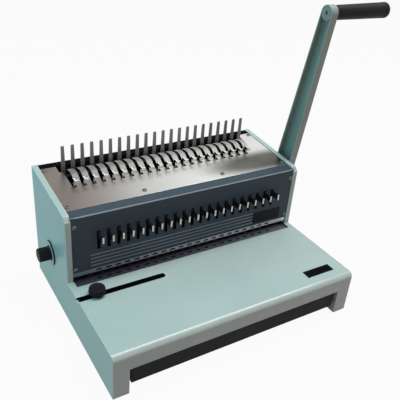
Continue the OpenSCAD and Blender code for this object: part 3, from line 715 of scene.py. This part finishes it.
    @staticmethod
    def pick(piece: Piece, slot: int, chosen: FaceTest) -> None:
        """Give the faces that pass a test to a material slot."""
        for face in filter(chosen, piece.data.polygons):
            face.material_index = slot

    @staticmethod
    def mount(piece: Piece, body: str, look: Looks, *nodes: str) -> Piece:
        """Let a finished piece ride on a body and stand for CAD nodes.

        Args:
            piece: The piece.
            body: The CAD body.
            look: The piece's main finish; not used.
            *nodes: CAD nodes that it replaces.

        Returns:
            The same piece.
        """
        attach(piece, body)
        if nodes:
            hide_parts(*nodes)
        return piece

    @staticmethod
    def keep(node: str, look: Looks) -> Piece:
        """Show a CAD node as it is, in one finish.

        Args:
            node: The CAD node.
            look: Its finish.

        Returns:
            The node's object.
        """
        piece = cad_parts[node]
        for place in piece.material_slots:
            place.material = look.value.material()
        return piece

    @staticmethod
    def shell(node: str, name: str, body: str, look: Looks, rounding: float,
              worn: Looks | None = None) -> Piece:
        """Replace a CAD node by a copy with rounded edges, kept inside the node's box.

        Args:
            node: The CAD node.
            name: Name of the copy.
            body: The body it rides on.
            look: Finish of its faces.
            rounding: Width of the rounded edges.
            worn: Finish of the rounded edges, which are then finer, or None for the same. On the
                housing and cheeks it is lighter paint, a painted highlight with wear.

        Returns:
            The copy.
        """
        piece = Bench.copy_node(node, name)
        if worn is None:
            Bench.paint(piece, look)
            Bench.soften(piece, rounding)
        else:
            Bench.paint(piece, look, worn)
            Bench.soften(piece, rounding, segments=3, edge=1)
        low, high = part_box(node)
        for corner in piece.data.vertices:
            corner.co = [min(max(c, a), b) for c, a, b in zip(corner.co, low, high)]
        return Bench.mount(piece, body, look, node)


@dataclass
class BaseUnit:
    """The base: housing, deck, chip tray, feet and the bare name plate.

    Attributes:
        wall_edge: Rounding of the housing.
        slot_box: Low and high corner of a box round the walls of the table's slot.
        bend_from: Place in Y in front of which the housing bends down.
        sheet_edge: Rounding of the tray.
        runner_edge: Rounding of the tray's runners.
        foot_rim: Width of the ring that a foot stands on.
        foot_cup: Depth of the cup inside that ring.
        foot_edge: Rounding of the feet.
        plate_mid: Middle of the name plate on the table.
        plate_size: Its width, depth and height.
        plate_rim: Distance of its rim from its edge, and width of the rim.
        plate_step: Width and depth of the step inside the rim.
        plate_edge: Rounding of the name plate.
    """

    wall_edge: float = 0.7
    slot_box: tuple[Triple, Triple] = ((-190.0, -42.6, -3.0), (-56.0, -32.0, -0.04))
    bend_from: float = -142.5
    sheet_edge: float = 0.3
    runner_edge: float = 0.25
    foot_rim: float = 3.2
    foot_cup: float = 1.2
    foot_edge: float = 0.35
    plate_mid: Pair = (143.5, -125.0)
    plate_size: Triple = (47.0, 14.0, 0.7)
    plate_rim: Pair = (0.3, 0.5)
    plate_step: Pair = (0.15, 0.2)
    plate_edge: float = 0.08

    def build(self) -> list[Piece]:
        """Build and dress every piece of the base.

        Returns:
            Its pieces, in the order of their making.
        """
        sheets = {"chip_tray": "tray_floor", "tray_sides": "tray_walls", "tray_ends": "tray_front"}
        return [
            self._housing(),
            *(Bench.shell(node, name, "tray", Looks.BLACK_SHEET, self.sheet_edge)
              for node, name in sheets.items()),
            Bench.shell("tray_runners", "runner_angles", "frame", Looks.ZINC, self.runner_edge),
            Bench.keep("tower_deck", Looks.BLACKENED),
            self._feet(),
            self._name_plate(),
        ]

    def _housing(self) -> Piece:
        """Round the housing's edges, paint shade on its slot's walls and gloss its front bend.

        Returns:
            The piece.
        """
        # The lighter paint on the rounded edges is a painted highlight, with wear.
        piece = Bench.shell("base_housing", "housing", "frame", Looks.PAINT, self.wall_edge,
                            Looks.PAINT_EDGE)
        for look in (Looks.BLACKENED, Looks.PAINT_BEND):
            piece.data.materials.append(look.value.material())
        low, high = (row(*corner) for corner in self.slot_box)
        front = row(0.0, self.bend_from, 0.0).y

        def in_slot(face: Face) -> bool:
            """Tell whether a face is a wall of the slot."""
            return all(low[i] < face.center[i] < high[i] for i in range(3))

        def on_bend(face: Face) -> bool:
            """Tell whether a face lies on the front bend, looking forwards and up."""
            return face.center.y < front and face.normal.y < -0.2 and face.normal.z > 0.1

        # Painted shade: the walls of the table's slot take black steel.
        Bench.pick(piece, 2, in_slot)
        Bench.pick(piece, 3, on_bend)
        return piece

    def _feet(self) -> Piece:
        """Copy the feet and sink a cup into the face that each stands on.

        Returns:
            The piece.
        """
        piece = Bench.copy_node("rubber_feet", "feet")
        floor = 0.1 * MM
        Bench.edit(piece, lambda face: face.normal.z < -FACING and face.center.z < floor)
        bpy.ops.mesh.inset(thickness=self.foot_rim * MM, depth=0.0, use_individual=True)
        rise = (0.0, 0.0, self.foot_cup * MM)
        bpy.ops.mesh.extrude_region_move(TRANSFORM_OT_translate={"value": rise})
        Bench.done()
        Bench.paint(piece, Looks.RUBBER)
        Bench.soften(piece, self.foot_edge)
        return Bench.mount(piece, "frame", Looks.RUBBER, "rubber_feet")

    def _name_plate(self) -> Piece:
        """Model the bare plate on the table, dark inside a thin rim.

        Returns:
            The piece.
        """
        wide, deep, high = self.plate_size
        margin, line = self.plate_rim
        piece = Bench.block("name_plate", row(*self.plate_mid, high / 2), self.plate_size)
        Bench.paint(piece, Looks.BLACKENED, Looks.PLASTIC)
        Bench.edit(piece, lambda face: face.normal.z > FACING)
        Bench.sink((margin, 0.0), (line, 0.0), self.plate_step)
        Bench.done()
        middle = row(*self.plate_mid, 0.0)

        def in_rim(face: Face) -> bool:
            """Tell whether a face is in the line round the plate."""
            away = (face.center - middle) / MM
            return margin < min(wide / 2 - abs(away.x), deep / 2 - abs(away.y)) < margin + line

        Bench.pick(piece, 1, in_rim)
        Bench.soften(piece, self.plate_edge)
        return Bench.mount(piece, "frame", Looks.BLACKENED)


@dataclass
class EdgeGuide:
    """The sliding edge stop in the table slot, with its clamping knob.

    Attributes:
        rail_edge: Rounding of the channel under the slot.
        shoe_edge: Rounding of the stop.
        centre: Middle of the knob's lower face.
        radius: Radius of the knob at its foot.
        height: Height of the knob.
        ribs: Grooves round the knob.
        groove: Depth of a groove.
    """

    rail_edge: float = 0.2
    shoe_edge: float = 0.3
    centre: Triple = (-161.0, -37.3, 4.5)
    radius: float = 11.5
    height: float = 7.7
    ribs: int = 24
    groove: float = 0.7

    def build(self) -> list[Piece]:
        """Build and dress every piece of the edge guide.

        Returns:
            Its pieces, in the order of their making.
        """
        return [
            Bench.shell("edge_rail", "rail_channel", "frame", Looks.BLACK_SHEET, self.rail_edge),
            Bench.shell("edge_stop", "stop_shoe", "edge_stop_body", Looks.PLASTIC, self.shoe_edge),
            self._knob(),
        ]

    def _knob(self) -> Piece:
        """Turn the knob, groove its wall and dish its top.

        Returns:
            The piece.
        """
        foot, r, top = self.centre[2], self.radius, self.centre[2] + self.height
        stations = [(foot + 0.4, 2.6), (foot, 2.7), (foot, r - 0.6), (foot + 0.5, r),
                    (foot + 1.6, r - 0.1), (top - 2.4, r - 0.6), (top - 1.0, r - 0.8),
                    (top - 0.2, r - 1.8), (top, r - 2.6), (top - 0.3, r - 4.4),
                    (top - 0.8, r - 5.2), (top - 0.8, 1.5)]
        piece = Bench.turned("stop_knob", Axis.Z, self.centre, stations, 6 * self.ribs)
        reach, span = (r - 0.9, r + 0.1), (foot + 1.0, top - 1.0)
        Bench.flute(piece, Axis.Z, self.centre, self.ribs, reach, span, self.groove)
        Bench.paint(piece, Looks.PLASTIC)
        Bench.smooth(piece, angle=40.0)
        return Bench.mount(piece, "edge_knob_body", Looks.PLASTIC, "edge_knob")


@dataclass
class Tower:
    """The tower's covers: cheeks, front panel, top plate, rear cover, badge and screws.

    Attributes:
        cheek_edge: Rounding of the cheeks.
        rib_front: Place in Y in front of which the panel's faces are on its ribs.
        bend_edge: Rounding of the bend at the panel's top.
        panel_edge: Rounding of its other edges.
        slots_from: Place in Y behind which the walls of the top plate's slots are.
        arch_from: Place in Y behind which its fingers are.
        comb_half: Half the width of the part with slots.
        plate_edge: Rounding of the top plate.
        flange_from: Height over which the rear cover's flange is.
        cover_edge: Rounding of the rear cover.
        badge_mid: Middle of the bare badge on the front panel, in X and Z.
        badge_size: Its width, depth and height.
        badge_rim: Width of its rim.
        badge_step: Width and depth of the step inside the rim.
        badge_edge: Rounding of the badge.
        head: Radius and height of a screw head.
        recess: Length, width and height of a block that cuts half the cross in it.
        twist: Turn from each screw to the next, in radians.
        panel_spots: Screw places in X and Z on the front panel.
        plate_spots: Screw places in X and Y on the top plate.
    """

    cheek_edge: float = 0.6
    rib_front: float = -0.3
    bend_edge: float = 1.0
    panel_edge: float = 0.22
    slots_from: float = 65.0
    arch_from: float = 72.5
    comb_half: float = 150.0
    plate_edge: float = 0.2
    flange_from: float = 100.0
    cover_edge: float = 0.3
    badge_mid: Pair = (137.5, 26.5)
    badge_size: Triple = (51.0, 1.3, 18.0)
    badge_rim: float = 0.8
    badge_step: Pair = (0.15, 0.15)
    badge_edge: float = 0.1
    head: Pair = (3.4, 1.5)
    recess: Triple = (3.6, 0.75, 1.5)
    twist: float = 0.7
    panel_spots: tuple[Pair, ...] = ((-175.5, 84.5), (175.5, 84.5), (-175.5, 18.0), (175.5, 18.0))
    plate_spots: tuple[Pair, ...] = ((-175.5, 25.0), (175.5, 25.0), (-64.2, 27.5), (64.2, 27.5),
                                     (-175.5, 120.0), (175.5, 120.0))

    def build(self) -> list[Piece]:
        """Build and dress every cover of the tower.

        Returns:
            Its pieces, in the order of their making.
        """
        return [
            # The cheeks' rounded edges take lighter paint, a painted highlight with wear.
            *(Bench.shell(f"{side}_cheek", f"cheek_{side}", "frame", Looks.PAINT, self.cheek_edge,
                          Looks.PAINT_EDGE) for side in ("left", "right")),
            self._panel(),
            self._plate(),
            self._back(),
            self._badge(),
            *self._screws(),
        ]

    def _panel(self) -> Piece:
        """Copy the front panel, its raised ribs paler and a painted highlight on the bend at its
        top.

        Returns:
            The piece.
        """
        front = row(0.0, self.rib_front, 0.0).y
        ribs = {Looks.RIB: lambda face: face.center.y < front, Looks.BEND_LINE: lambda face: False}
        piece = Bench.dress("front_panel", "slotted_panel", Looks.SLATE, ribs)
        bend = row(0.0, 0.0, TOP_FRONT)
        near_y, near_z, least = 0.05 * MM, 0.2 * MM, 5 * MM

        def at_bend(one: Vector, other: Vector) -> bool:
            """Tell whether an edge runs along the bend at the top of the panel."""
            near = all(abs(end.y - bend.y) < near_y and abs(end.z - bend.z) < near_z
                       for end in (one, other))
            return near and abs(one.x - other.x) > least

        # Painted highlight: the bend's rounding takes the paler paint in slot 2.
        Bench.ridge(piece, self.bend_edge, 2, at_bend)
        Bench.soften(piece, self.panel_edge)
        return Bench.mount(piece, "frame", Looks.SLATE, "front_panel")

    def _plate(self) -> Piece:
        """Copy the top plate, its fingers duller, with painted shade on their sides and the slots'
        walls.

        Returns:
            The piece.
        """
        arch, slots = row(0.0, self.arch_from, 0.0).y, row(0.0, self.slots_from, 0.0).y
        middle, half, upward = SHIFT.x * MM, self.comb_half * MM, 0.3
        holes = [row(x, y, 0.0).xy for x, y in self.plate_spots]

        def within(face: Face, rear_of: float) -> bool:
            """Tell whether a face lies wholly between the plain ends and behind a line."""
            ends = [face.id_data.vertices[i].co for i in face.vertices]
            return all(abs(end.x - middle) < half and end.y > rear_of for end in ends)

        def clear(one: Vector, other: Vector) -> bool:
            """Tell whether an edge keeps away from the holes under the screw heads."""
            gaps = [(end.xy - hole).length for end in (one, other) for hole in holes]
            return min(gaps) > self.head[0] * MM

        # Painted shade: black steel on the slots' walls and the fingers' sides and undersides.
        piece = Bench.dress("top_plate", "slotted_plate", Looks.PLATE, {
            Looks.FINGER: lambda face: face.normal.z > upward and within(face, arch),
            Looks.BLACKENED: lambda face: face.normal.z < upward and within(face, slots)})
        Bench.ridge(piece, self.plate_edge, -1, clear)
        Bench.smooth(piece)
        return Bench.mount(piece, "frame", Looks.PLATE, "top_plate")

    def _back(self) -> Piece:
        """Copy the rear cover, with a black flange over the tower.

        Returns:
            The piece.
        """
        top = row(0.0, 0.0, self.flange_from).z
        flange = {Looks.BLACKENED: lambda face: face.center.z > top}
        piece = Bench.dress("rear_cover", "back_cover", Looks.SLATE, flange)
        Bench.soften(piece, self.cover_edge)
        return Bench.mount(piece, "frame", Looks.SLATE, "rear_cover")

    def _badge(self) -> Piece:
        """Model the bare badge on the front panel, its face sunk inside a rim.

        Returns:
            The piece.
        """
        x, z = self.badge_mid
        piece = Bench.block("panel_badge", row(x, -self.badge_size[1] / 2, z), self.badge_size)
        Bench.edit(piece, lambda face: face.normal.y < -FACING)
        Bench.sink((self.badge_rim, 0.0), self.badge_step)
        Bench.done()
        Bench.paint(piece, Looks.BLACK_SHEET)
        Bench.soften(piece, self.badge_edge)
        return Bench.mount(piece, "frame", Looks.BLACK_SHEET)

    def _screws(self) -> list[Piece]:
        """Model one pan-head screw with a cross recess and copy it to every place.

        Returns:
            The screws.
        """
        r, high = self.head
        stations = [(-1.0, r - 0.9), (0.0, r - 0.9), (0.0, r), (0.35, r), (0.85, r - 0.25),
                    (1.25, r - 0.9), (high, r - 1.9)]
        first = Bench.turned("screw_model", Axis.Z, (0.0, 0.0, 0.0), stations, 32)
        for turn in (0.0, math.pi / 2):
            spot = row(0.0, 0.0, high)
            cutter = Bench.block("recess_cutter", spot, self.recess, (0.0, 0.0, turn))
            Bench.take(first)
            tool = first.modifiers.new("recess", "BOOLEAN")
            tool.operation = "DIFFERENCE"
            tool.object = cutter
            bpy.ops.object.modifier_apply(modifier=tool.name)
            bpy.data.objects.remove(cutter)
        Bench.smooth(first, angle=35.0)
        Bench.paint(first, Looks.DARK_STEEL)
        home = Matrix.Translation(-row(0.0, 0.0, 0.0))
        forward, lean = (Matrix.Rotation(angle, 4, "X") for angle in (math.pi / 2, SLOPE))
        places = [(row(x, 0.0, z), forward) for x, z in self.panel_spots]
        places += [(row(x, y, top_at(y)), lean) for x, y in self.plate_spots]
        made: list[Piece] = []
        for count, (spot, turn) in enumerate(places, 1):
            screw = Bench.duplicate(first, f"cover_screw_{count:02d}")
            twist = Matrix.Rotation(self.twist * count, 4, "Z")
            screw.data.transform(Matrix.Translation(spot) @ turn @ twist @ home)
            made.append(Bench.mount(screw, "frame", Looks.DARK_STEEL, "cover_screws"))
        bpy.data.objects.remove(first)
        return made


@dataclass
class CombRow:
    """Tines, and the hooks on their carriage, that hold and spread a comb.

    Attributes:
        beam_edge: Rounding of the bar that carries the tines.
        tine_edge: Rounding of the tines.
        hook_edge: Rounding of the hooks.
        side: Part of a normal along X over which a face is a hook's side.
        lug_from: Place in X of the first hook's lug at its left end.
        lug_size: Width, depth and height of a lug.
        lug_spot: Place in Y of a lug's front and its top's height over the plate.
        lug_edge: Rounding of the lugs.
    """

    beam_edge: float = 0.3
    tine_edge: float = 0.18
    hook_edge: float = 0.25
    side: float = 0.7
    lug_from: float = -150.4
    lug_size: Triple = (6.2, 2.4, 1.6)
    lug_spot: Pair = (66.6, 10.0)
    lug_edge: float = 0.3

    def build(self) -> list[Piece]:
        """Build and dress every piece of the comb row.

        Returns:
            Its pieces, in the order of their making.
        """
        return [
            Bench.shell("tine_bar", "tine_beam", "frame", Looks.BLACK_SHEET, self.beam_edge),
            Bench.shell("tines", "tine_blades", "frame", Looks.TINE, self.tine_edge),
            self._hooks(),
            self._lugs(),
            Bench.keep("hook_carriage", Looks.BLACKENED),
            Bench.keep("carriage_rails", Looks.ZINC),
        ]

    def _hooks(self) -> Piece:
        """Copy the hooks, pale in front, with painted shade on their sides.

        Returns:
            The piece.
        """
        # Painted shade: black steel on the hooks' sides.
        sides = {Looks.BLACKENED: lambda face: abs(face.normal.x) > self.side}
        piece = Bench.dress("hooks", "comb_hooks", Looks.PALE, sides)
        Bench.soften(piece, self.hook_edge)
        return Bench.mount(piece, "hook_set", Looks.PALE, "hooks")

    def _lugs(self) -> Piece:
        """Model the lug at a hook's head, rounded, with painted shade on its sides and underside,
        and repeat it along the row.

        Returns:
            The piece.
        """
        wide, deep, high = self.lug_size
        front, top = self.lug_spot
        spot = row(self.lug_from + wide / 2, front, top_at(front))
        spot += Matrix.Rotation(SLOPE, 3, "X") @ Vector((0.0, deep / 2, top - high / 2)) * MM
        piece = Bench.block("hook_lugs", spot, self.lug_size, (SLOPE, 0.0, 0.0))
        Bench.paint(piece, Looks.PALE, Looks.BLACKENED)
        # Painted shade: black steel on the lugs' sides and undersides.
        Bench.pick(piece, 1, lambda face: face.normal.z < -0.5 or abs(face.normal.x) > self.side)
        Bench.soften(piece, self.lug_edge)
        tool = piece.modifiers.new("along_the_row", "ARRAY")
        tool.count = HOLES
        tool.use_relative_offset = False
        tool.use_constant_offset = True
        tool.constant_offset_displace = (PITCH * MM, 0.0, 0.0)
        bpy.ops.object.modifier_apply(modifier=tool.name)
        return Bench.mount(piece, "hook_set", Looks.PALE)


@dataclass
class PunchRow:
    """Die, guide, punch bar with its pins, and the pull tabs.

    Attributes:
        die_front: Place in Y behind which the die's upright faces are in its holes.
        die_edge: Rounding of the die.
        lip_rear: Place in Y behind which the guide isn't its lip.
        guide_edge: Rounding of the guide.
        tab_front: Place in Y in front of which the tabs' front ends are.
        tab_edge: Rounding of the tabs.
    """

    die_front: float = -11.0
    die_edge: float = 0.12
    lip_rear: float = 2.6
    guide_edge: float = 0.15
    tab_front: float = -15.8
    tab_edge: float = 0.3

    def build(self) -> list[Piece]:
        """Build and dress every piece of the punch row.

        Returns:
            Its pieces, in the order of their making.
        """
        return [
            self._die(),
            self._guide(),
            Bench.keep("guide_spacers", Looks.BLACKENED),
            Bench.keep("guide_rods", Looks.BRIGHT),
            # Painted shade: the punch bar is black so that the inside seen through the panel's
            # slots stays dark.
            Bench.keep("punch_bar", Looks.BLACKENED),
            Bench.keep("punch_pins", Looks.DARK_STEEL),
            *self._tabs(),
        ]

    def _die(self) -> Piece:
        """Copy the die, with painted shade on the walls of its holes and windows.

        Returns:
            The piece.
        """
        front = row(0.0, self.die_front, 0.0).y
        # Painted shade: black steel on the walls of the die's holes and windows.
        walls = {Looks.BLACKENED: lambda face: abs(face.normal.z) < 0.5 and face.center.y > front}
        piece = Bench.dress("die_plate", "die_strip", Looks.DIE, walls)
        Bench.soften(piece, self.die_edge)
        return Bench.mount(piece, "frame", Looks.DIE, "die_plate")

    def _guide(self) -> Piece:
        """Copy the punch guide, satin on its lip, with painted shade on its rear part and underside
        over the throat.

        Returns:
            The piece.
        """
        lip = row(0.0, self.lip_rear, 0.0).y
        # Painted shade: black steel on the guide's rear part and underside, over the throat.
        inside = {Looks.BLACKENED: lambda face: face.center.y > lip or face.normal.z < -0.3}
        piece = Bench.dress("punch_guide", "guide_strip", Looks.SATIN, inside)
        Bench.soften(piece, self.guide_edge)
        return Bench.mount(piece, "frame", Looks.SATIN, "punch_guide")

    def _tabs(self) -> list[Piece]:
        """Model one pull tab with a bright end and copy it along the row.

        Returns:
            The tabs.
        """
        front = row(0.0, self.tab_front, 0.0).y
        ends = {Looks.PALE: lambda face: face.center.y < front}
        first = Bench.dress("pull_tab_01", "tab_model", Looks.BLACK_SHEET, ends)
        Bench.soften(first, self.tab_edge)
        made: list[Piece] = []
        for k in range(1, HOLES + 1):
            tab = Bench.duplicate(first, f"tab_{k:02d}")
            tab.data.transform(Matrix.Translation(((k - 1) * PITCH * MM, 0.0, 0.0)))
            made.append(Bench.mount(tab, f"pull_tab_{k:02d}_body", Looks.PALE, f"pull_tab_{k:02d}"))
        bpy.data.objects.remove(first)
        return made


@dataclass
class LeverSet:
    """The lever with its grip, and the shaft, gears and spring that it turns.

    Attributes:
        arm_edge: Rounding of the lever.
        stud_edge: Rounding of the stud in the grip.
        bolt_edge: Rounding of the bolt in the hub.
        grip_from: Place in X of the grip's inner end.
        grip_to: Place in X of its outer end.
        grip_radius: Largest radius of the grip.
    """

    arm_edge: float = 0.6
    stud_edge: float = 0.25
    bolt_edge: float = 0.3
    grip_from: float = 204.0
    grip_to: float = 306.0
    grip_radius: float = 11.25

    def build(self) -> list[Piece]:
        """Build and dress every piece of the lever.

        Returns:
            Its pieces, in the order of their making.
        """
        inside = ("punch_pinions", "hook_pinions", "return_spring")
        return [
            # The arm takes the darker copy of the paint, painted shade; its rounded edges keep the
            # plain paint.
            Bench.shell("lever_arm", "lever_channel", "lever", Looks.LEVER_PAINT, self.arm_edge,
                        Looks.PAINT),
            self._grip(),
            Bench.shell("grip_bolt", "grip_stud", "lever", Looks.DARK_STEEL, self.stud_edge),
            Bench.shell("lever_bolt", "hub_bolt", "lever", Looks.ZINC, self.bolt_edge),
            Bench.keep("lever_shaft", Looks.BRIGHT),
            Bench.keep("shaft_bushes", Looks.BRONZE),
            *(Bench.keep(node, Looks.DARK_STEEL) for node in inside),
        ]

    def _grip(self) -> Piece:
        """Turn the grip with its moulded collar, shallow rings and domed end.

        Returns:
            The piece.
        """
        low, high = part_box("grip")
        middle = (low + high) / 2 / MM - SHIFT
        a, b, r = self.grip_from, self.grip_to, self.grip_radius
        stations = [(a + 1.0, 3.1), (a, 3.3), (a, r - 1.9), (a + 0.6, r - 1.3), (a + 5.0, r - 1.2),
                    (a + 5.6, r - 1.6), (a + 6.4, r - 1.6), (a + 7.0, r - 1.15),
                    (b - 9.0, r - 0.15), (b - 8.4, r - 0.5), (b - 7.6, r - 0.5), (b - 7.0, r),
                    (b - 2.6, r), (b - 1.2, r - 0.45), (b - 0.4, r - 1.4), (b, r - 3.0),
                    (b - 0.2, 4.0), (b - 0.6, 3.4), (b - 0.6, 0.8)]
        piece = Bench.turned("lever_grip", Axis.X, middle, stations, 64)
        Bench.paint(piece, Looks.PLASTIC)
        Bench.smooth(piece, angle=38.0)
        return Bench.mount(piece, "lever", Looks.PLASTIC, "grip")


@dataclass
class MarginControl:
    """The margin knob on the left cheek, with its spindle and the back gauge.

    Attributes:
        gauge_edge: Rounding of the back gauge.
        centre: A point on the knob's axis.
        radius: Radius of the knob.
        outer: Place in X of its outer face.
        inner: Place in X of the disc's face at the cheek.
        disc: Radius and thickness of the disc.
        ribs: Grooves round the knob.
        groove: Depth of a groove.
    """

    gauge_edge: float = 0.2
    centre: Triple = (0.0, 68.0, 7.0)
    radius: float = 10.0
    outer: float = -207.0
    inner: float = -188.5
    disc: Pair = (18.0, 1.5)
    ribs: int = 18
    groove: float = 0.8

    def build(self) -> list[Piece]:
        """Build and dress every piece of the margin control.

        Returns:
            Its pieces, in the order of their making.
        """
        return [
            self._knob(),
            Bench.keep("margin_spindle", Looks.ZINC),
            Bench.shell("back_gauge", "gauge_strip", "gauge", Looks.ZINC, self.gauge_edge),
        ]

    def _knob(self) -> Piece:
        """Turn the knob and its thin disc, and groove the knob's wall.

        Returns:
            The piece.
        """
        r, a, b = self.radius, self.outer, self.inner
        wide, thick = self.disc
        foot = b - thick
        stations = [(a + 0.5, 1.2), (a + 0.5, r - 4.5), (a, r - 3.6), (a, r - 1.6),
                    (a + 0.4, r - 0.6), (a + 1.3, r - 0.05), (foot - 2.4, r),
                    (foot - 0.9, r + 0.2), (foot, r + 1.4), (foot, wide - 0.5),
                    (foot + 0.4, wide), (b - 0.3, wide), (b, wide - 0.4), (b, 3.2), (b - 3.0, 3.1)]
        piece = Bench.turned("margin_dial", Axis.X, self.centre, stations, 6 * self.ribs)
        reach, span = (r - 0.3, r + 0.1), (a + 1.0, foot - 2.0)
        Bench.flute(piece, Axis.X, self.centre, self.ribs, reach, span, self.groove)
        Bench.paint(piece, Looks.PLASTIC, Looks.PAINT)
        middle = row(*self.centre)

        def on_disc(face: Face) -> bool:
            """Tell whether a face lies on the disc's flat outer side."""
            away = (face.center - middle).yz.length
            return face.normal.x < -0.8 and r + 0.9 < away / MM < wide - 0.3

        Bench.pick(piece, 1, on_disc)
        Bench.smooth(piece, angle=40.0)
        return Bench.mount(piece, "margin", Looks.PLASTIC, "margin_knob")


@dataclass(frozen=True)
class Lamp:
    """A soft lamp that faces the machine, its width along the row of pins.

    Attributes:
        name: Name of the lamp.
        spot: Its place in metres.
        size: Its width and height in metres.
        level: How bright a white card facing it at the machine looks, with 1 for white.
        colour: Its colour.
    """

    name: str
    spot: Triple
    size: Pair
    level: float
    colour: Colour = (1.0, 1.0, 1.0)

    def build(self, aim: Vector) -> None:
        """Place the lamp.

        Args:
            aim: The point that it faces.
        """
        away = Vector(self.spot) - aim
        light = bpy.data.lights.new(self.name, "AREA")
        light.shape = "RECTANGLE"
        light.size, light.size_y = self.size
        light.color = self.colour
        light.energy = self.level * math.pi**2 * away.length_squared
        lamp = bpy.data.objects.new(self.name, light)
        lamp.location = self.spot
        lamp.rotation_mode = "QUATERNION"
        facing = away.normalized()
        side = Vector((0.0, 1.0, 0.0)).cross(facing).normalized()
        turn = Matrix((side, facing.cross(side), facing)).transposed()
        lamp.rotation_quaternion = turn.to_quaternion()
        bpy.context.scene.collection.objects.link(lamp)


@dataclass
class Studio:
    """Camera, lamps, white surroundings and the floor.

    Attributes:
        eye: The camera's place.
        right: Its direction to the right of the image.
        up: Its direction to the top of the image.
        lens: Its focal length on the sensor.
        sensor: Width of the sensor.
        clip: Nearest and farthest place that it sees, in metres.
        aim: The point that the lamps face, in metres.
        fill: Even light from all round.
        floor_size: Width of the floor in metres.
        floor_drop: Its distance under the feet in metres.
        floor_colour: Its colour in the light that it throws back.
        floor_white: Part of white in what is seen of it.
        lamps: The lamps.
    """

    eye: Triple = (-368.05, -577.58, 478.44)
    right: Triple = (0.85675381, -0.51025895, 0.07489129)
    up: Triple = (0.19906513, 0.46115495, 0.86470179)
    lens: float = 50.18
    sensor: float = 36.0
    clip: Pair = (0.01, 50.0)
    aim: Triple = (-0.05, 0.0, 0.12)
    fill: Colour = (0.18, 0.18, 0.18)
    floor_size: float = 14.0
    floor_drop: float = 0.0003
    floor_colour: Colour = (0.44, 0.36, 0.35)
    floor_white: float = 0.95
    lamps: tuple[Lamp, ...] = (
        Lamp("top_softbox", (0.5, -0.1, 2.2), (2.0, 1.2), 0.94),
        Lamp("left_softbox", (-1.2, 0.4, 0.55), (0.9, 0.9), 0.32, (0.08, 0.78, 0.92)),
        Lamp("front_softbox", (0.1, -2.2, 0.5), (1.2, 0.8), 0.08, (1.0, 0.4, 0.35)),
    )

    def build(self) -> None:
        """Set up the view and the light."""
        scene = bpy.context.scene
        scene.view_settings.view_transform = "Standard"
        self._camera(scene)
        self._world(scene)
        self._floor()
        for lamp in self.lamps:
            lamp.build(Vector(self.aim))

    def _camera(self, scene: bpy.types.Scene) -> None:
        """Place the camera where the picture was taken from.

        Args:
            scene: The scene.
        """
        data = bpy.data.cameras.new("view_camera")
        data.sensor_width, data.lens = self.sensor, self.lens
        data.clip_start, data.clip_end = self.clip
        camera = bpy.data.objects.new("view_camera", data)
        right, up = Vector(self.right).normalized(), Vector(self.up).normalized()
        turn = Matrix((right, up, right.cross(up))).transposed()
        camera.matrix_world = Matrix.Translation(row(*self.eye)) @ turn.to_4x4()
        scene.collection.objects.link(camera)
        scene.camera = camera

    @staticmethod
    def _show(tree: Tree, lit: Node, seen: Node, share: float, sink: str) -> None:
        """Show one shader while another gives the light.

        Args:
            tree: A world's or material's node tree.
            lit: The shader that gives the light.
            seen: The shader on camera, glossy and transmission rays.
            share: Its part on those rays.
            sink: Name of the tree's output node.
        """
        path = add(tree, "LightPath", {}).outputs
        mask = path["Is Camera Ray"]
        for label in ("Is Glossy Ray", "Is Transmission Ray"):
            mask = add(tree, "Math", {0: mask, 1: path[label]}, operation="MAXIMUM").outputs[0]
        mask = add(tree, "Math", {0: mask, 1: share}, operation="MULTIPLY").outputs[0]
        both = add(tree, "MixShader", {0: mask, 1: lit.outputs[0], 2: seen.outputs[0]})
        tree.links.new(both.outputs[0], tree.nodes[sink].inputs["Surface"])

    def _world(self, scene: bpy.types.Scene) -> None:
        """Light the scene evenly and show white behind it.

        Args:
            scene: The scene.
        """
        world = bpy.data.worlds.new("studio_world")
        world.use_nodes = True
        tree = world.node_tree
        even = tree.nodes["Background"]
        even.inputs["Color"].default_value = (*self.fill, 1.0)
        white = add(tree, "Background", {"Color": (1.0, 1.0, 1.0, 1.0)})
        self._show(tree, even, white, 1.0, "World Output")
        scene.world = world

    def _floor(self) -> None:
        """Lay a pale floor that keeps a faint shadow."""
        Bench.clear()
        spot = (0.0, 0.0, -self.floor_drop)
        bpy.ops.mesh.primitive_plane_add(size=self.floor_size, location=spot)
        floor = bpy.context.object
        floor.name = floor.data.name = "studio_floor"
        made = bpy.data.materials.new("pale_floor")
        made.use_nodes = True
        tree = made.node_tree
        tree.nodes.remove(tree.nodes["Principled BSDF"])
        card = add(tree, "BsdfDiffuse", {"Color": (*self.floor_colour, 1.0)})
        self._show(tree, card, add(tree, "Emission", {}), self.floor_white, "Material Output")
        floor.data.materials.append(made)


def main() -> None:
    """Build the studio and every sub-assembly, and log each piece's face count."""
    logging.basicConfig(level=logging.INFO, format="%(name)s %(message)s")
    Studio().build()
    units = (BaseUnit(), EdgeGuide(), Tower(), CombRow(), PunchRow(), LeverSet(), MarginControl())
    for unit in units:
        for piece in unit.build():
            LOG.info("%s: %s, %d faces", type(unit).__name__, piece.name, len(piece.data.polygons))
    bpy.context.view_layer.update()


if __name__ == "__main__":
    main()
